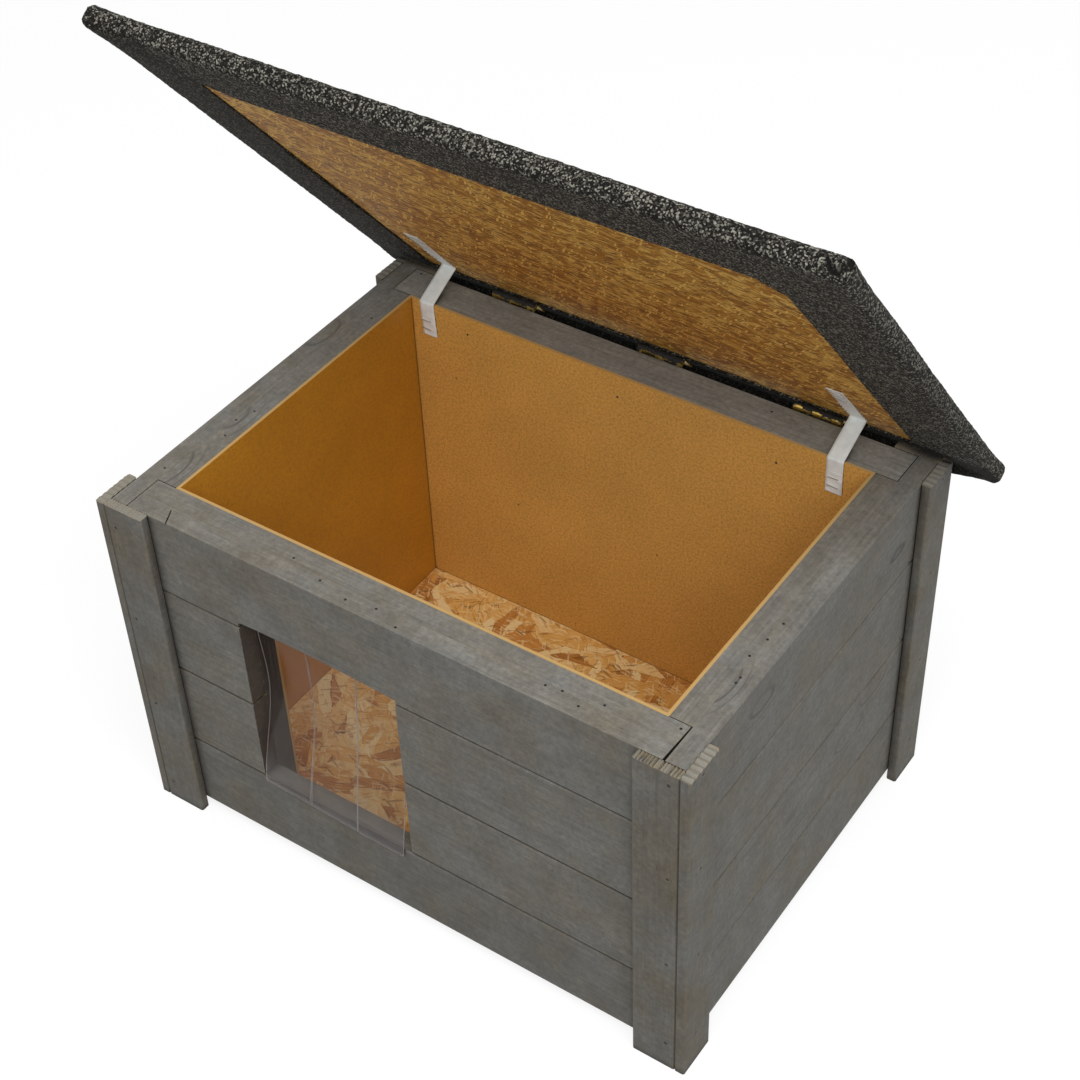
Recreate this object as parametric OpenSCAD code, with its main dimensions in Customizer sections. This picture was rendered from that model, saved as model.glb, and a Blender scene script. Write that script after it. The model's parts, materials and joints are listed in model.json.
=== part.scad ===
// Insulated wooden kennel: plank walls on an inner frame, a felt-covered lid on three
// butt hinges, stop straps, and a doorway closed by hanging strips. Millimetres, +Z up.
// The lid is drawn open, as far as its straps let it go.

/* [Box] */
// Width across the outer faces of the side planks
box_w = 600; // [500:1:800]
// Depth across the outer faces of the front and back planks
box_d = 432; // [380:1:600]
// Thickness of the wall planks
plank_t = 19; // [15:0.5:25]
// Height of the bottom row of planks
bottom_row_h = 87; // [75:1:120]
// Height of the second row from the bottom
lower_row_h = 98; // [80:1:120]
// Height of the third row from the bottom
upper_row_h = 101; // [80:1:120]
// Height of the top row
top_row_h = 92; // [80:1:120]
// Joint left between two rows of planks
row_gap = 1.8; // [0.2:0.1:2]
// Eased edge along the outer face of a plank or batten
edge_ease = 1.4; // [0.4:0.1:2]
// Joint left at the ends of the front and back planks and of all rails
end_gap = 0.8; // [0.2:0.1:1.5]

/* [Corner battens] */
// Thickness of a corner batten
batten_t = 10; // [8:0.5:18]
// Width of a corner batten
batten_w = 44; // [36:1:60]
// Chamfer along the back edges of a batten
batten_relief = 1.2; // [0.5:0.1:2]
// Height of the feet, by which the battens stand below the planks
foot_h = 12; // [8:1:30]
// Nails in each batten
nail_count = 4; // [3:1:6]
// Distance of the end nails from the batten's ends
nail_end = 24; // [18:1:40]
// Diameter of a nail
nail_d = 1.8; // [1.4:0.1:2.2]
// Diameter of a nail head
nail_head_d = 3.4; // [2.6:0.1:4]
// Depth of a nail in the plank behind the batten
nail_bite = 14; // [10:1:14]
// Height between the nails of a side batten and of the front or back batten beside it, which keeps them apart
side_nail_drop = 7; // [5:0.5:10]
// Rise of the right battens' nails over the left ones
right_nail_rise = 10; // [0:1:12]

/* [Inner frame] */
// Section of the frame's rails and posts
frame_s = 22; // [18:1:30]
// Thickness of the hardboard lining
lining_t = 3; // [2.5:0.5:5]
// Thickness of the floor board
floor_t = 10; // [8:1:18]
// Play round the foam boards in the wall cavity
foam_gap = 0.5; // [0.2:0.1:0.8]

/* [Doorway] */
// Distance of the doorway from the left outer face
door_x = 134; // [80:1:220]
// Width of the doorway
door_w = 176; // [150:1:220]
// Depth of the doorway's cut into the top row
door_cut = 6; // [4:0.5:12]
// Corner radius of that cut
door_cut_r = 4; // [2:0.5:4]
// Thickness of a hanging strip
strip_t = 1; // [0.8:0.1:1.2]
// Gap between two strips
strip_gap = 1; // [0.6:0.1:2]
// Gap between the strips and the sides of the doorway
strip_side_gap = 2; // [1:0.5:5]
// Gap between a strip's top edge and the door header
strip_top_gap = 0.8; // [0.7:0.05:0.9]
// Distance of a strip's fixing behind the planks' inner face
strip_setback = 2.5; // [2:0.5:6]
// Reach of the strips below the sill
strip_reach = 8; // [5:0.5:15]
// Gap between the strips and the sill's front edge
sill_gap = 0.4; // [0.3:0.1:1]

/* [Lid] */
// Opening angle at which the straps are taut
open_angle = 50.7; // [30:0.1:60]
// Thickness of the lid board
lid_board_t = 12; // [10:1:18]
// Thickness of the roofing felt
felt_t = 3; // [2:0.5:3.5]
// Overhang of the lid past the side planks
lid_side = 43; // [30:1:80]
// Overhang of the lid past the front planks when it is closed
lid_over_front = 73; // [40:1:120]
// Overhang of the lid past the back planks when it is closed
lid_over_back = 53; // [46:1:80]
// Width of the felt turned under the lid's sides
return_side = 71; // [50:1:100]
// Width of the felt turned under the lid's front
return_front = 76; // [50:1:110]
// Cut across the front corners of the bare board, where the felt is folded
return_fold = 22; // [10:1:40]
// Outer radius of the felt along the lid's edges
felt_r = 6; // [4:0.5:6.5]
// Corner radius of the lid seen from above
lid_corner_r = 9; // [7:0.5:20]

/* [Hinges] */
// Length of a hinge
hinge_l = 50; // [40:1:80]
// Distance of the left hinge's middle from the left outer face
hinge_left_x = 137; // [90:1:180]
// Distance of the right hinge's middle from the right outer face
hinge_right_x = 123; // [90:1:180]
// Number of knuckles in a hinge
knuckle_count = 5; // [3:2:7]
// Outer diameter of a knuckle
knuckle_d = 7; // [6:0.5:9]
// Diameter of a hinge pin
pin_d = 3; // [2.5:0.1:4]
// Thickness of a hinge leaf
leaf_t = 1.5; // [1:0.1:2]
// Width of a hinge leaf from the pin
leaf_w = 22; // [19:1:28]
// Height of the hinge pins above the box
pin_rise = 2.8; // [2.5:0.1:5]
// Running clearance of the pins in the knuckles
pin_play = 0.05; // [0.02:0.01:0.1]
// Gap between two knuckles, and from a knuckle to the other leaf and the felt
knuckle_gap = 0.4; // [0.2:0.1:0.6]
// Diameter of a hinge screw
screw_d = 3; // [2.5:0.1:3.5]
// Head diameter of a hinge screw
screw_head_d = 5.6; // [5:0.1:6.5]
// Length of a hinge screw
screw_l = 12; // [8:1:14]
// Distance between two screws along a leaf
screw_pitch = 17; // [14:0.5:17]
// Distance of the outer screws from the leaf's free edge
screw_edge = 6; // [4:0.5:7]
// Offset of the middle screw towards the pin
screw_stagger = 4; // [0:0.5:5]
// Play of screws and nails in their holes
hole_play = 0.1; // [0.05:0.05:0.3]

/* [Straps] */
// Distance of the left strap's middle from the left outer face
strap_left_x = 62; // [55:1:90]
// Distance of the right strap's middle from the right outer face
strap_right_x = 80; // [55:1:110]
// Width of a strap
strap_w = 17; // [10:0.5:20]
// Thickness of a strap
strap_t = 0.8; // [0.5:0.1:1.2]
// Distance along the lid from the hinge pins to the strap's bend
strap_bend = 16; // [12:1:30]
// Length of the strap's part on the lid
strap_on_lid = 88; // [50:1:120]
// Length of the strap's part down the inner wall
strap_on_wall = 38; // [25:1:60]
// Gap between the strap and what it lies on
strap_gap = 0.3; // [0.2:0.1:0.5]
// Width of a staple's crown
staple_w = 11; // [8:0.5:12]
// Thickness of the staple wire
staple_t = 0.7; // [0.5:0.1:1]
// Length of a staple's legs below its crown
staple_leg = 3.6; // [3:0.1:3.8]
// Distance between two staples in a row
staple_pitch = 10; // [6:0.5:12]
// Distance of the end staple from the strap's end
staple_inset = 7; // [4:0.5:10]
// Staples in each strap on the lid
lid_staples = 3; // [2:1:4]
// Staples in each strap on the wall
wall_staples = 2; // [1:1:2]

/* [Hidden] */
$fn = 48;

// Heights of the plank rows from the bottom up, and where each row starts
row_h = [bottom_row_h, lower_row_h, upper_row_h, top_row_h];
row_z = [for (i = [0:3]) foot_h + (i > 0 ? row_h[0] : 0) + (i > 1 ? row_h[1] : 0) + (i > 2 ? row_h[2] : 0)];
box_h = row_z[3] + row_h[3];
floor_z = foot_h + floor_t;
frame_z0 = floor_z + frame_s;
frame_z1 = box_h - frame_s;

// Distances from the outer faces to the frame's inner face and to the lining's inner face
cavity = plank_t + frame_s;
wall = cavity + lining_t;

// Ends of the planks and rails that run across between the side planks
cross_x0 = plank_t + end_gap;
cross_x1 = box_w - cross_x0;

// Doorway
door_x1 = door_x + door_w;
sill_z = row_z[1] - row_gap / 2;
header_z = row_z[3] + row_gap / 2 + door_cut;
strip_w = (door_w - 2 * strip_side_gap - 2 * strip_gap) / 3;
strip_top = header_z - strip_top_gap;
strip_y = plank_t + strip_setback;

// The back of a strip is an arc that starts upright at its fixing and clears the sill
strip_drop = strip_top - sill_z;
strip_lean = strip_y + sill_gap;
strip_r = (strip_drop * strip_drop + strip_lean * strip_lean) / (2 * strip_lean);
strip_sweep = asin((strip_drop + strip_reach) / strip_r);
strip_steps = 12;

// Hinge pins, and the lid's levels above them when it is closed
pin_y = box_d + knuckle_d / 2;
pin_z = box_h + pin_rise;
lid_under = knuckle_d / 2 + knuckle_gap;
board_under = lid_under + felt_t;
board_top = board_under + lid_board_t;
lid_top = board_top + felt_t;
lid_front = pin_y + lid_over_front;
lid_back = lid_over_back - knuckle_d / 2;
lid_x0 = -lid_side;
lid_w = box_w + 2 * lid_side;
window_x0 = lid_x0 + return_side;
window_w = lid_w - 2 * return_side;
window_front = return_front - lid_front;
window_back = knuckle_d / 2 + knuckle_gap;
hinge_x = [hinge_left_x, (hinge_left_x + box_w - hinge_right_x) / 2, box_w - hinge_right_x];
knuckle_l = hinge_l / knuckle_count;

// Screws of a leaf: along the hinge, and their distance from the pin
screw_at = [for (i = [-1:1]) [i * screw_pitch, leaf_w - screw_edge - (i == 0 ? screw_stagger : 0)]];
screw_head_h = (screw_head_d - screw_d) / 2;

// Straps: their middles, and the face of the lining that they hang against
strap_x = [strap_left_x, box_w - strap_right_x];
strap_wall_y = box_d - wall;

// The back-most point of the open lid, which sets the middle of the whole in depth
lid_rear_y = pin_y + (lid_back - felt_r) * cos(open_angle) + (lid_top - felt_r) * sin(open_angle) + felt_r;
origin_x = box_w / 2;
origin_y = (lid_rear_y - batten_t) / 2;

paint = "dimgray";
lining_colour = "peru";
strand_colour = "burlywood";
felt_colour = [0.2, 0.2, 0.19];
brass = "goldenrod";
steel = "silver";

// Puts the box's own frame, with its corner at the front left, about the part's origin
module placed() {
    translate([-origin_x, -origin_y, 0]) children();
}

// Puts pieces drawn about the hinge pins, lid closed, where the open lid has them
module on_lid() {
    placed() translate([0, pin_y, pin_z]) rotate([-open_angle, 0, 0]) children();
}

module block(from, to) {
    translate(from) cube(to - from);
}

// Section of a board: x from its outer face inwards, y across, with the outer edges eased
module board_section(width, thickness, relief = 0) {
    chamfer = thickness - relief;
    back = relief > 0
        ? [[chamfer, 0], [thickness, relief], [thickness, width - relief], [chamfer, width]]
        : [[thickness, 0], [thickness, width]];
    polygon(concat([[0, edge_ease], [edge_ease, 0]], back, [[edge_ease, width], [0, width - edge_ease]]));
}

// A plank along +X with its outer face on y = 0, facing -Y
module plank(row, length) {
    z0 = row_z[row] + (row > 0 ? row_gap / 2 : 0);
    z1 = row_z[row] + row_h[row] - (row < 3 ? row_gap / 2 : 0);
    translate([0, 0, z0]) rotate([90, 0, 90]) linear_extrude(length) board_section(z1 - z0, plank_t);
}

module front_plank(row, x0, x1) {
    color(paint) placed() translate([x0, 0, 0]) plank(row, x1 - x0);
}

module back_plank(row) {
    color(paint) placed() difference() {
        translate([cross_x1, box_d, 0]) rotate([0, 0, 180]) plank(row, cross_x1 - cross_x0);
        if (row == 3) hinge_box_screw_shapes(hole_play);
    }
}

module side_plank(row, side) {
    color(paint) placed() difference() {
        if (side == 0)
            translate([0, box_d, 0]) rotate([0, 0, -90]) plank(row, box_d);
        else
            translate([box_w, 0, 0]) rotate([0, 0, 90]) plank(row, box_d);
        for (back = [false, true]) {
            face_nails(side, back, hole_play);
            side_nails(side, back, hole_play);
        }
    }
}

// Cut of the doorway into the top row, with rounded upper corners
module door_cut_shape() {
    translate([0, plank_t + 1, 0]) rotate([90, 0, 0]) linear_extrude(plank_t + 2) {
        translate([door_x, row_z[3] - 1]) square([door_w, door_cut + 1 - door_cut_r + row_gap / 2]);
        translate([door_x + door_cut_r, row_z[3] - 1])
            square([door_w - 2 * door_cut_r, header_z - row_z[3] + 1]);
        for (x = [door_x + door_cut_r, door_x1 - door_cut_r])
            translate([x, header_z - door_cut_r]) circle(door_cut_r);
    }
}

module front_top_plank() {
    color(paint) difference() {
        front_plank(3, cross_x0, cross_x1);
        placed() door_cut_shape();
    }
}

// A batten standing on the ground with its outer face on y = 0, facing -Y
module batten() {
    linear_extrude(box_h) rotate(90) mirror([0, 1]) board_section(batten_w, batten_t, batten_relief);
}

// Battens on the front and back stand inside those on the sides, which cover their edges
module face_batten(side, back) {
    x0 = side == 0 ? 0 : box_w - batten_w;
    color(paint) placed() difference() {
        if (back)
            translate([x0 + batten_w, box_d + batten_t, 0]) rotate([0, 0, 180]) batten();
        else
            translate([x0, -batten_t, 0]) batten();
        face_nails(side, back, hole_play);
    }
}

module side_batten(side, back) {
    y0 = back ? box_d + batten_t - batten_w : -batten_t;
    color(paint) placed() difference() {
        if (side == 0)
            translate([-batten_t, y0 + batten_w, 0]) rotate([0, 0, -90]) batten();
        else
            translate([box_w + batten_t, y0, 0]) rotate([0, 0, 90]) batten();
        side_nails(side, back, hole_play);
    }
}

// One nail along +Y with its head flush with y = 0
module nail(play) {
    rotate([-90, 0, 0]) {
        translate([0, 0, -play]) cylinder(d = nail_head_d + 2 * play, h = nail_d / 2 + 2 * play);
        cylinder(d = nail_d + 2 * play, h = batten_t + nail_bite + play);
    }
}

function nail_z(i) = nail_end + i * (box_h - 2 * nail_end) / (nail_count - 1);

// Nails of one batten on the front or back, into the end of the side planks
module face_nails(side, back, play) {
    x = side == 0 ? plank_t / 2 : box_w - plank_t / 2;
    for (i = [0:nail_count - 1])
        translate([x, back ? box_d + batten_t : -batten_t, nail_z(i) + side * right_nail_rise])
            rotate([0, 0, back ? 180 : 0]) nail(play);
}

// Nails of one batten on a side, into the face of the side planks
module side_nails(side, back, play) {
    y = back ? box_d - plank_t / 2 : plank_t / 2;
    rise = side == 0 ? -side_nail_drop : right_nail_rise + side_nail_drop;
    for (i = [0:nail_count - 1])
        translate([side == 0 ? -batten_t : box_w + batten_t, y, nail_z(i) + rise])
            rotate([0, 0, side == 0 ? -90 : 90]) nail(play);
}

module batten_nails() {
    color(steel) placed()
        for (side = [0, 1])
            for (back = [false, true]) {
                face_nails(side, back, 0);
                side_nails(side, back, 0);
            }
}

// Rails round the frame at one height: those on the front and back run past those on the sides
module cross_rail(back, z) {
    y0 = back ? box_d - cavity : plank_t;
    block([cross_x0, y0, z], [cross_x1, y0 + frame_s, z + frame_s]);
}

module side_rail(side, z) {
    x0 = side == 0 ? plank_t : box_w - cavity;
    block([x0, cavity + end_gap, z], [x0 + frame_s, box_d - cavity - end_gap, z + frame_s]);
}

module top_cross_rail(back) {
    color(paint) placed() cross_rail(back, frame_z1);
}

module top_side_rail(side) {
    color(paint) placed() side_rail(side, frame_z1);
}

module bottom_rails() {
    color("tan") placed() {
        for (back = [false, true]) cross_rail(back, floor_z);
        for (side = [0, 1]) side_rail(side, floor_z);
    }
}

module post(x, y) {
    block([x, y, frame_z0], [x + frame_s, y + frame_s, frame_z1]);
}

module corner_posts() {
    color("tan") placed()
        for (x = [plank_t, box_w - cavity])
            for (y = [plank_t, box_d - cavity]) post(x, y);
}

module door_posts() {
    color(paint) placed()
        for (x = [door_x - frame_s, door_x1]) post(x, plank_t);
}

module door_header() {
    color(paint) placed() block([door_x, plank_t, header_z], [door_x1, cavity, header_z + frame_s]);
}

// A foam board that fills a cavity but for its play
module foam(from, to) {
    gap = foam_gap * [1, 1, 1];
    block(from + gap, to - gap);
}

module wall_foam() {
    color("white") placed() {
        foam([plank_t, cavity, frame_z0], [cavity, box_d - cavity, frame_z1]);
        foam([box_w - cavity, cavity, frame_z0], [box_w - plank_t, box_d - cavity, frame_z1]);
        foam([cavity, box_d - cavity, frame_z0], [box_w - cavity, box_d - plank_t, frame_z1]);
        foam([cavity, plank_t, frame_z0], [door_x - frame_s, cavity, frame_z1]);
        foam([door_x1 + frame_s, plank_t, frame_z0], [box_w - cavity, cavity, frame_z1]);
        foam([door_x, plank_t, header_z + frame_s], [door_x1, cavity, frame_z1]);
    }
}

// The side linings run the full depth, and the front and back ones stand between them
module side_lining(side) {
    x0 = side == 0 ? cavity : box_w - wall;
    color(lining_colour) placed() block([x0, cavity, floor_z], [x0 + lining_t, box_d - cavity, box_h]);
}

module back_lining() {
    color(lining_colour) placed() difference() {
        block([wall, box_d - wall, floor_z], [box_w - wall, box_d - cavity, box_h]);
        wall_staple_shapes(hole_play);
    }
}

// The doorway's opening in the lining runs down to the bottom rail
module front_lining() {
    color(lining_colour) placed() difference() {
        block([wall, cavity, floor_z], [box_w - wall, wall, box_h]);
        block([door_x, cavity - 1, frame_z0], [door_x1, wall + 1, header_z]);
    }
}

module floor_board() {
    color(strand_colour) placed()
        block([plank_t, plank_t, foot_h], [box_w - plank_t, box_d - plank_t, floor_z]);
}

function unit(v) = v / norm(v);

// One side of a ribbon: each point of a path set off to the left by a distance, with mitred bends
function set_off(path, distance) = [
    for (i = [0:len(path) - 1])
        let (
            last = len(path) - 1,
            before = unit(path[max(i, 1)] - path[max(i, 1) - 1]),
            after = unit(path[min(i, last - 1) + 1] - path[min(i, last - 1)]),
            along = unit(before + after),
            left = [-along.y, along.x]
        )
        path[i] + left * distance / (left * [-before.y, before.x])
];

// Side view of a ribbon of even thickness on the right of a path
module ribbon(path, thickness) {
    other = set_off(path, -thickness);
    polygon(concat(path, [for (i = [len(path) - 1:-1:0]) other[i]]));
}

// One hanging strip: upright at its fixing, then bowed out over the sill
module hanging_strip(index) {
    x0 = door_x + strip_side_gap + index * (strip_w + strip_gap);
    back = [for (i = [0:strip_steps]) let (a = strip_sweep * i / strip_steps)
        [strip_y - strip_r * (1 - cos(a)), strip_top - strip_r * sin(a)]];
    color([0.8, 0.85, 0.9, 0.4]) placed() translate([x0, 0, 0]) rotate([90, 0, 90])
        linear_extrude(strip_w) ribbon(back, strip_t);
}

// Rectangle with true round corners
module round_rect(size, r) {
    translate([r, 0]) square([size.x - 2 * r, size.y]);
    translate([0, r]) square([size.x, size.y - 2 * r]);
    for (x = [r, size.x - r])
        for (y = [r, size.y - r]) translate([x, y]) circle(r);
}

// The lid's outer form: round along all four edges and at the corners seen from above
module lid_form() {
    length = lid_front + lid_back;
    height = lid_top - lid_under;
    intersection() {
        translate([lid_x0, -lid_front, lid_under]) linear_extrude(height)
            round_rect([lid_w, length], lid_corner_r);
        translate([lid_x0, lid_back, lid_under]) rotate([90, 0, 0]) linear_extrude(length)
            round_rect([lid_w, height], felt_r);
        translate([lid_x0, -lid_front, lid_under]) rotate([90, 0, 90]) linear_extrude(lid_w)
            round_rect([length, height], felt_r);
    }
}

module lid_board_shape() {
    size = [lid_w - 2 * felt_t, lid_front + lid_back - 2 * felt_t];
    translate([lid_x0 + felt_t, felt_t - lid_front, board_under]) linear_extrude(lid_board_t)
        round_rect(size, lid_corner_r - felt_t);
}

module lid_board() {
    color(strand_colour) on_lid() difference() {
        lid_board_shape();
        hinge_lid_screw_shapes(hole_play);
        lid_staple_shapes(hole_play);
    }
}

// Bare part of the board's underside, inside the felt that is turned under
module window_shape() {
    x0 = window_x0;
    x1 = window_x0 + window_w;
    y0 = window_front;
    y1 = window_back;
    translate([0, 0, lid_under - 1]) linear_extrude(felt_t + 1) polygon([
        [x0, y1], [x0, y0 + return_fold / 2], [x0 + return_fold / 2, y0],
        [x1 - return_fold, y0], [x1, y0 + return_fold], [x1, y1]
    ]);
}

module lid_felt() {
    color(felt_colour) on_lid() difference() {
        lid_form();
        lid_board_shape();
        window_shape();
        hinge_lid_screw_shapes(hole_play);
    }
}

// Knuckles of one leaf along X about the pin: the box leaf has the odd ones
module knuckles(lid_leaf, extra) {
    for (i = [0:knuckle_count - 1])
        if ((i % 2 == 1) == lid_leaf)
            translate([-hinge_l / 2 + i * knuckle_l + (extra ? -knuckle_gap / 2 : knuckle_gap / 2), 0, 0])
                children();
}

// A leaf about the pin, its plate hanging down -Z with its back on y = -knuckle_d / 2
module leaf(lid_leaf) {
    r = knuckle_d / 2;
    back = lid_leaf ? -r - knuckle_gap : -r;
    difference() {
        union() {
            difference() {
                block([-hinge_l / 2, back, -leaf_w], [hinge_l / 2, back + leaf_t, 0]);
                knuckles(!lid_leaf, true) rotate([0, 90, 0])
                    cylinder(r = r + knuckle_gap, h = knuckle_l + knuckle_gap);
                knuckles(!lid_leaf, true)
                    block([0, back - 1, -r], [knuckle_l + knuckle_gap, back + leaf_t + 1, 1]);
            }
            knuckles(lid_leaf, false) {
                rotate([0, 90, 0]) cylinder(r = r, h = knuckle_l - knuckle_gap);
                block([0, back, -r], [knuckle_l - knuckle_gap, back + leaf_t, 0]);
            }
        }
        translate([-hinge_l, 0, 0]) rotate([0, 90, 0]) cylinder(d = pin_d + 2 * pin_play, h = 2 * hinge_l);
        leaf_screws(back + leaf_t, hole_play);
    }
}

// Countersunk screws of a leaf, heads flush with its face, pointing to -Y
module leaf_screws(face, play) {
    for (s = screw_at)
        translate([s.x, face, -s.y]) rotate([90, 0, 0]) {
            cylinder(d1 = screw_head_d + 2 * play, d2 = screw_d + 2 * play, h = screw_head_h);
            cylinder(d = screw_d + 2 * play, h = screw_l + play);
        }
}

// The lid leaf lies along the lid's underside, behind the pin
module as_lid_leaf(x) {
    translate([x, 0, 0]) mirror([0, 0, 1]) rotate([90, 0, 0]) children();
}

module as_box_leaf(x) {
    translate([x, pin_y, pin_z]) children();
}

module hinge_box_leaf(index) {
    color(brass) placed() as_box_leaf(hinge_x[index]) leaf(false);
}

module hinge_lid_leaf(index) {
    color(brass) on_lid() as_lid_leaf(hinge_x[index]) leaf(true);
}

module hinge_box_screw_shapes(play) {
    for (x = hinge_x) as_box_leaf(x) leaf_screws(leaf_t - knuckle_d / 2, play);
}

module hinge_lid_screw_shapes(play) {
    for (x = hinge_x) as_lid_leaf(x) leaf_screws(leaf_t - knuckle_d / 2 - knuckle_gap, play);
}

module hinge_box_screws() {
    color(steel) placed() hinge_box_screw_shapes(0);
}

module hinge_lid_screws() {
    color(steel) on_lid() hinge_lid_screw_shapes(0);
}

module hinge_pins() {
    color(brass) placed()
        for (x = hinge_x)
            translate([x - hinge_l / 2, pin_y, pin_z]) rotate([0, 90, 0]) cylinder(d = pin_d, h = hinge_l);
}

// A point of the lid's underside as seen from the box, by its distances from the pin
function lid_point(reach, level) = [
    pin_y - reach * cos(open_angle) + level * sin(open_angle),
    pin_z + reach * sin(open_angle) + level * cos(open_angle)
];

// Side view of a strap: along the lid, across the top rail, over the lining and down the wall
module strap_section() {
    near = board_under - strap_gap;
    wall_near = strap_wall_y - strap_gap;
    ribbon([
        lid_point(strap_bend + strap_on_lid, near), lid_point(strap_bend, near),
        [wall_near, box_h + strap_gap], [wall_near, box_h - strap_on_wall]
    ], strap_t);
}

module strap(index) {
    color("whitesmoke") difference() {
        placed() translate([strap_x[index] - strap_w / 2, 0, 0]) rotate([90, 0, 90])
            linear_extrude(strap_w) strap_section();
        placed() wall_staple_shapes(hole_play);
        on_lid() lid_staple_shapes(hole_play);
    }
}

// A staple on y = 0, its crown along X on the -Y side and its legs along +Y
module staple(play) {
    half = staple_t / 2 + play;
    for (x = [-1, 1] * (staple_w - staple_t) / 2)
        block([x - half, -staple_t - play, -half], [x + half, staple_leg + play, half]);
    block([-staple_w / 2 - play, -staple_t - play, -half], [staple_w / 2 + play, play, half]);
}

module wall_staple_shapes(play) {
    face = strap_wall_y - strap_gap - strap_t;
    for (x = strap_x)
        for (i = [0:wall_staples - 1])
            translate([x, face, box_h - strap_on_wall + staple_inset + i * staple_pitch]) staple(play);
}

module lid_staple_shapes(play) {
    face = board_under - strap_gap - strap_t;
    for (x = strap_x)
        for (i = [0:lid_staples - 1])
            translate([x, -strap_bend - strap_on_lid + staple_inset + i * staple_pitch, face])
                rotate([90, 0, 0]) staple(play);
}

module strap_wall_staples() {
    color(steel) placed() wall_staple_shapes(0);
}

module strap_lid_staples() {
    color(steel) on_lid() lid_staple_shapes(0);
}

front_top_plank();
front_plank(2, cross_x0, door_x);  // front_upper_left_plank
front_plank(2, door_x1, cross_x1);  // front_upper_right_plank
front_plank(1, cross_x0, door_x);  // front_lower_left_plank
front_plank(1, door_x1, cross_x1);  // front_lower_right_plank
front_plank(0, cross_x0, cross_x1);  // front_bottom_plank
back_plank(0);  // back_bottom_plank
back_plank(1);  // back_lower_plank
back_plank(2);  // back_upper_plank
back_plank(3);  // back_top_plank
side_plank(0, 0);  // left_bottom_plank
side_plank(1, 0);  // left_lower_plank
side_plank(2, 0);  // left_upper_plank
side_plank(3, 0);  // left_top_plank
side_plank(0, 1);  // right_bottom_plank
side_plank(1, 1);  // right_lower_plank
side_plank(2, 1);  // right_upper_plank
side_plank(3, 1);  // right_top_plank
face_batten(0, false);  // front_left_batten
face_batten(1, false);  // front_right_batten
face_batten(0, true);  // back_left_batten
face_batten(1, true);  // back_right_batten
side_batten(0, false);  // left_front_batten
side_batten(0, true);  // left_back_batten
side_batten(1, false);  // right_front_batten
side_batten(1, true);  // right_back_batten
batten_nails();
top_cross_rail(false);  // front_top_rail
top_cross_rail(true);  // back_top_rail
top_side_rail(0);  // left_top_rail
top_side_rail(1);  // right_top_rail
bottom_rails();
corner_posts();
door_posts();
door_header();
wall_foam();
front_lining();
back_lining();
side_lining(0);  // left_lining
side_lining(1);  // right_lining
floor_board();
hanging_strip(0);  // strip_left
hanging_strip(1);  // strip_middle
hanging_strip(2);  // strip_right
lid_board();
lid_felt();
hinge_box_leaf(0);  // hinge_left_box_leaf
hinge_box_leaf(1);  // hinge_middle_box_leaf
hinge_box_leaf(2);  // hinge_right_box_leaf
hinge_lid_leaf(0);  // hinge_left_lid_leaf
hinge_lid_leaf(1);  // hinge_middle_lid_leaf
hinge_lid_leaf(2);  // hinge_right_lid_leaf
hinge_pins();
hinge_box_screws();
hinge_lid_screws();
strap(0);  // strap_left
strap(1);  // strap_right
strap_wall_staples();
strap_lid_staples();
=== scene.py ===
"""Insulated wooden kennel: its finishes, felt roof, straps and door strips, dressed on the frame."""

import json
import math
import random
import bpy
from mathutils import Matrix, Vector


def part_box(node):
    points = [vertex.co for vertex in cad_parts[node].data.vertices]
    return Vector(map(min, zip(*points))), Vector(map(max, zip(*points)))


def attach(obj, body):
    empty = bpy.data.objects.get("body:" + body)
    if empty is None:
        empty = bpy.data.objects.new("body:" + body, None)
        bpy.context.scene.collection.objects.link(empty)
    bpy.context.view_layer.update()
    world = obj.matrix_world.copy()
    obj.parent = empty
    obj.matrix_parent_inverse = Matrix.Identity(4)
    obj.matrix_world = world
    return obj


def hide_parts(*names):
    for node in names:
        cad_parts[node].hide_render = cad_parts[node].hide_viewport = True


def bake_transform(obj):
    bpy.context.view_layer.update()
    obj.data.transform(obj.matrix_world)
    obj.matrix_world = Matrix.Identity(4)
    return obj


bl_info = {
    "name": "Kennel",
    "version": (1, 0, 0),
    "blender": (4, 5, 0),
    "location": "View3D > Sidebar > Kennel",
    "description": "Dresses the kennel's frame with paint, boards, felt, straps and door strips",
    "category": "Object",
}

from functools import partial

import bmesh
import bpy
from mathutils import Matrix, Vector, noise
from mathutils.geometry import intersect_point_line

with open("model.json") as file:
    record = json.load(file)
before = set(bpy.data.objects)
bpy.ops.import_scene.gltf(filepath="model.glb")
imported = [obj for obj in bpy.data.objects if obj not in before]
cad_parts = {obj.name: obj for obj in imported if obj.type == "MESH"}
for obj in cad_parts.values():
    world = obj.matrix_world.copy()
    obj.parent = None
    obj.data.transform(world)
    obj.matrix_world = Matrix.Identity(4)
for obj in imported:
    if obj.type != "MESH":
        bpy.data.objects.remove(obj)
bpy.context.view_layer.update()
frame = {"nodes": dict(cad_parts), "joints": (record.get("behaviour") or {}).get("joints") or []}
MM = 0.001


def linear(hex_code):
    """The linear RGBA colour of an sRGB hex code such as #808080."""
    parts = [int(hex_code[i : i + 2], 16) / 255 for i in (1, 3, 5)]
    return tuple(c / 12.92 if c <= 0.04045 else ((c + 0.055) / 1.055) ** 2.4 for c in parts) + (1.0,)


def colour(name, description, hex_code):
    return bpy.props.FloatVectorProperty(
        name=name, description=description, subtype="COLOR", size=4, min=0, max=1, default=linear(hex_code)
    )


def length(name, description, mm):
    return bpy.props.FloatProperty(
        name=name, description=description, subtype="DISTANCE", unit="LENGTH", default=mm * MM
    )


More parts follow.
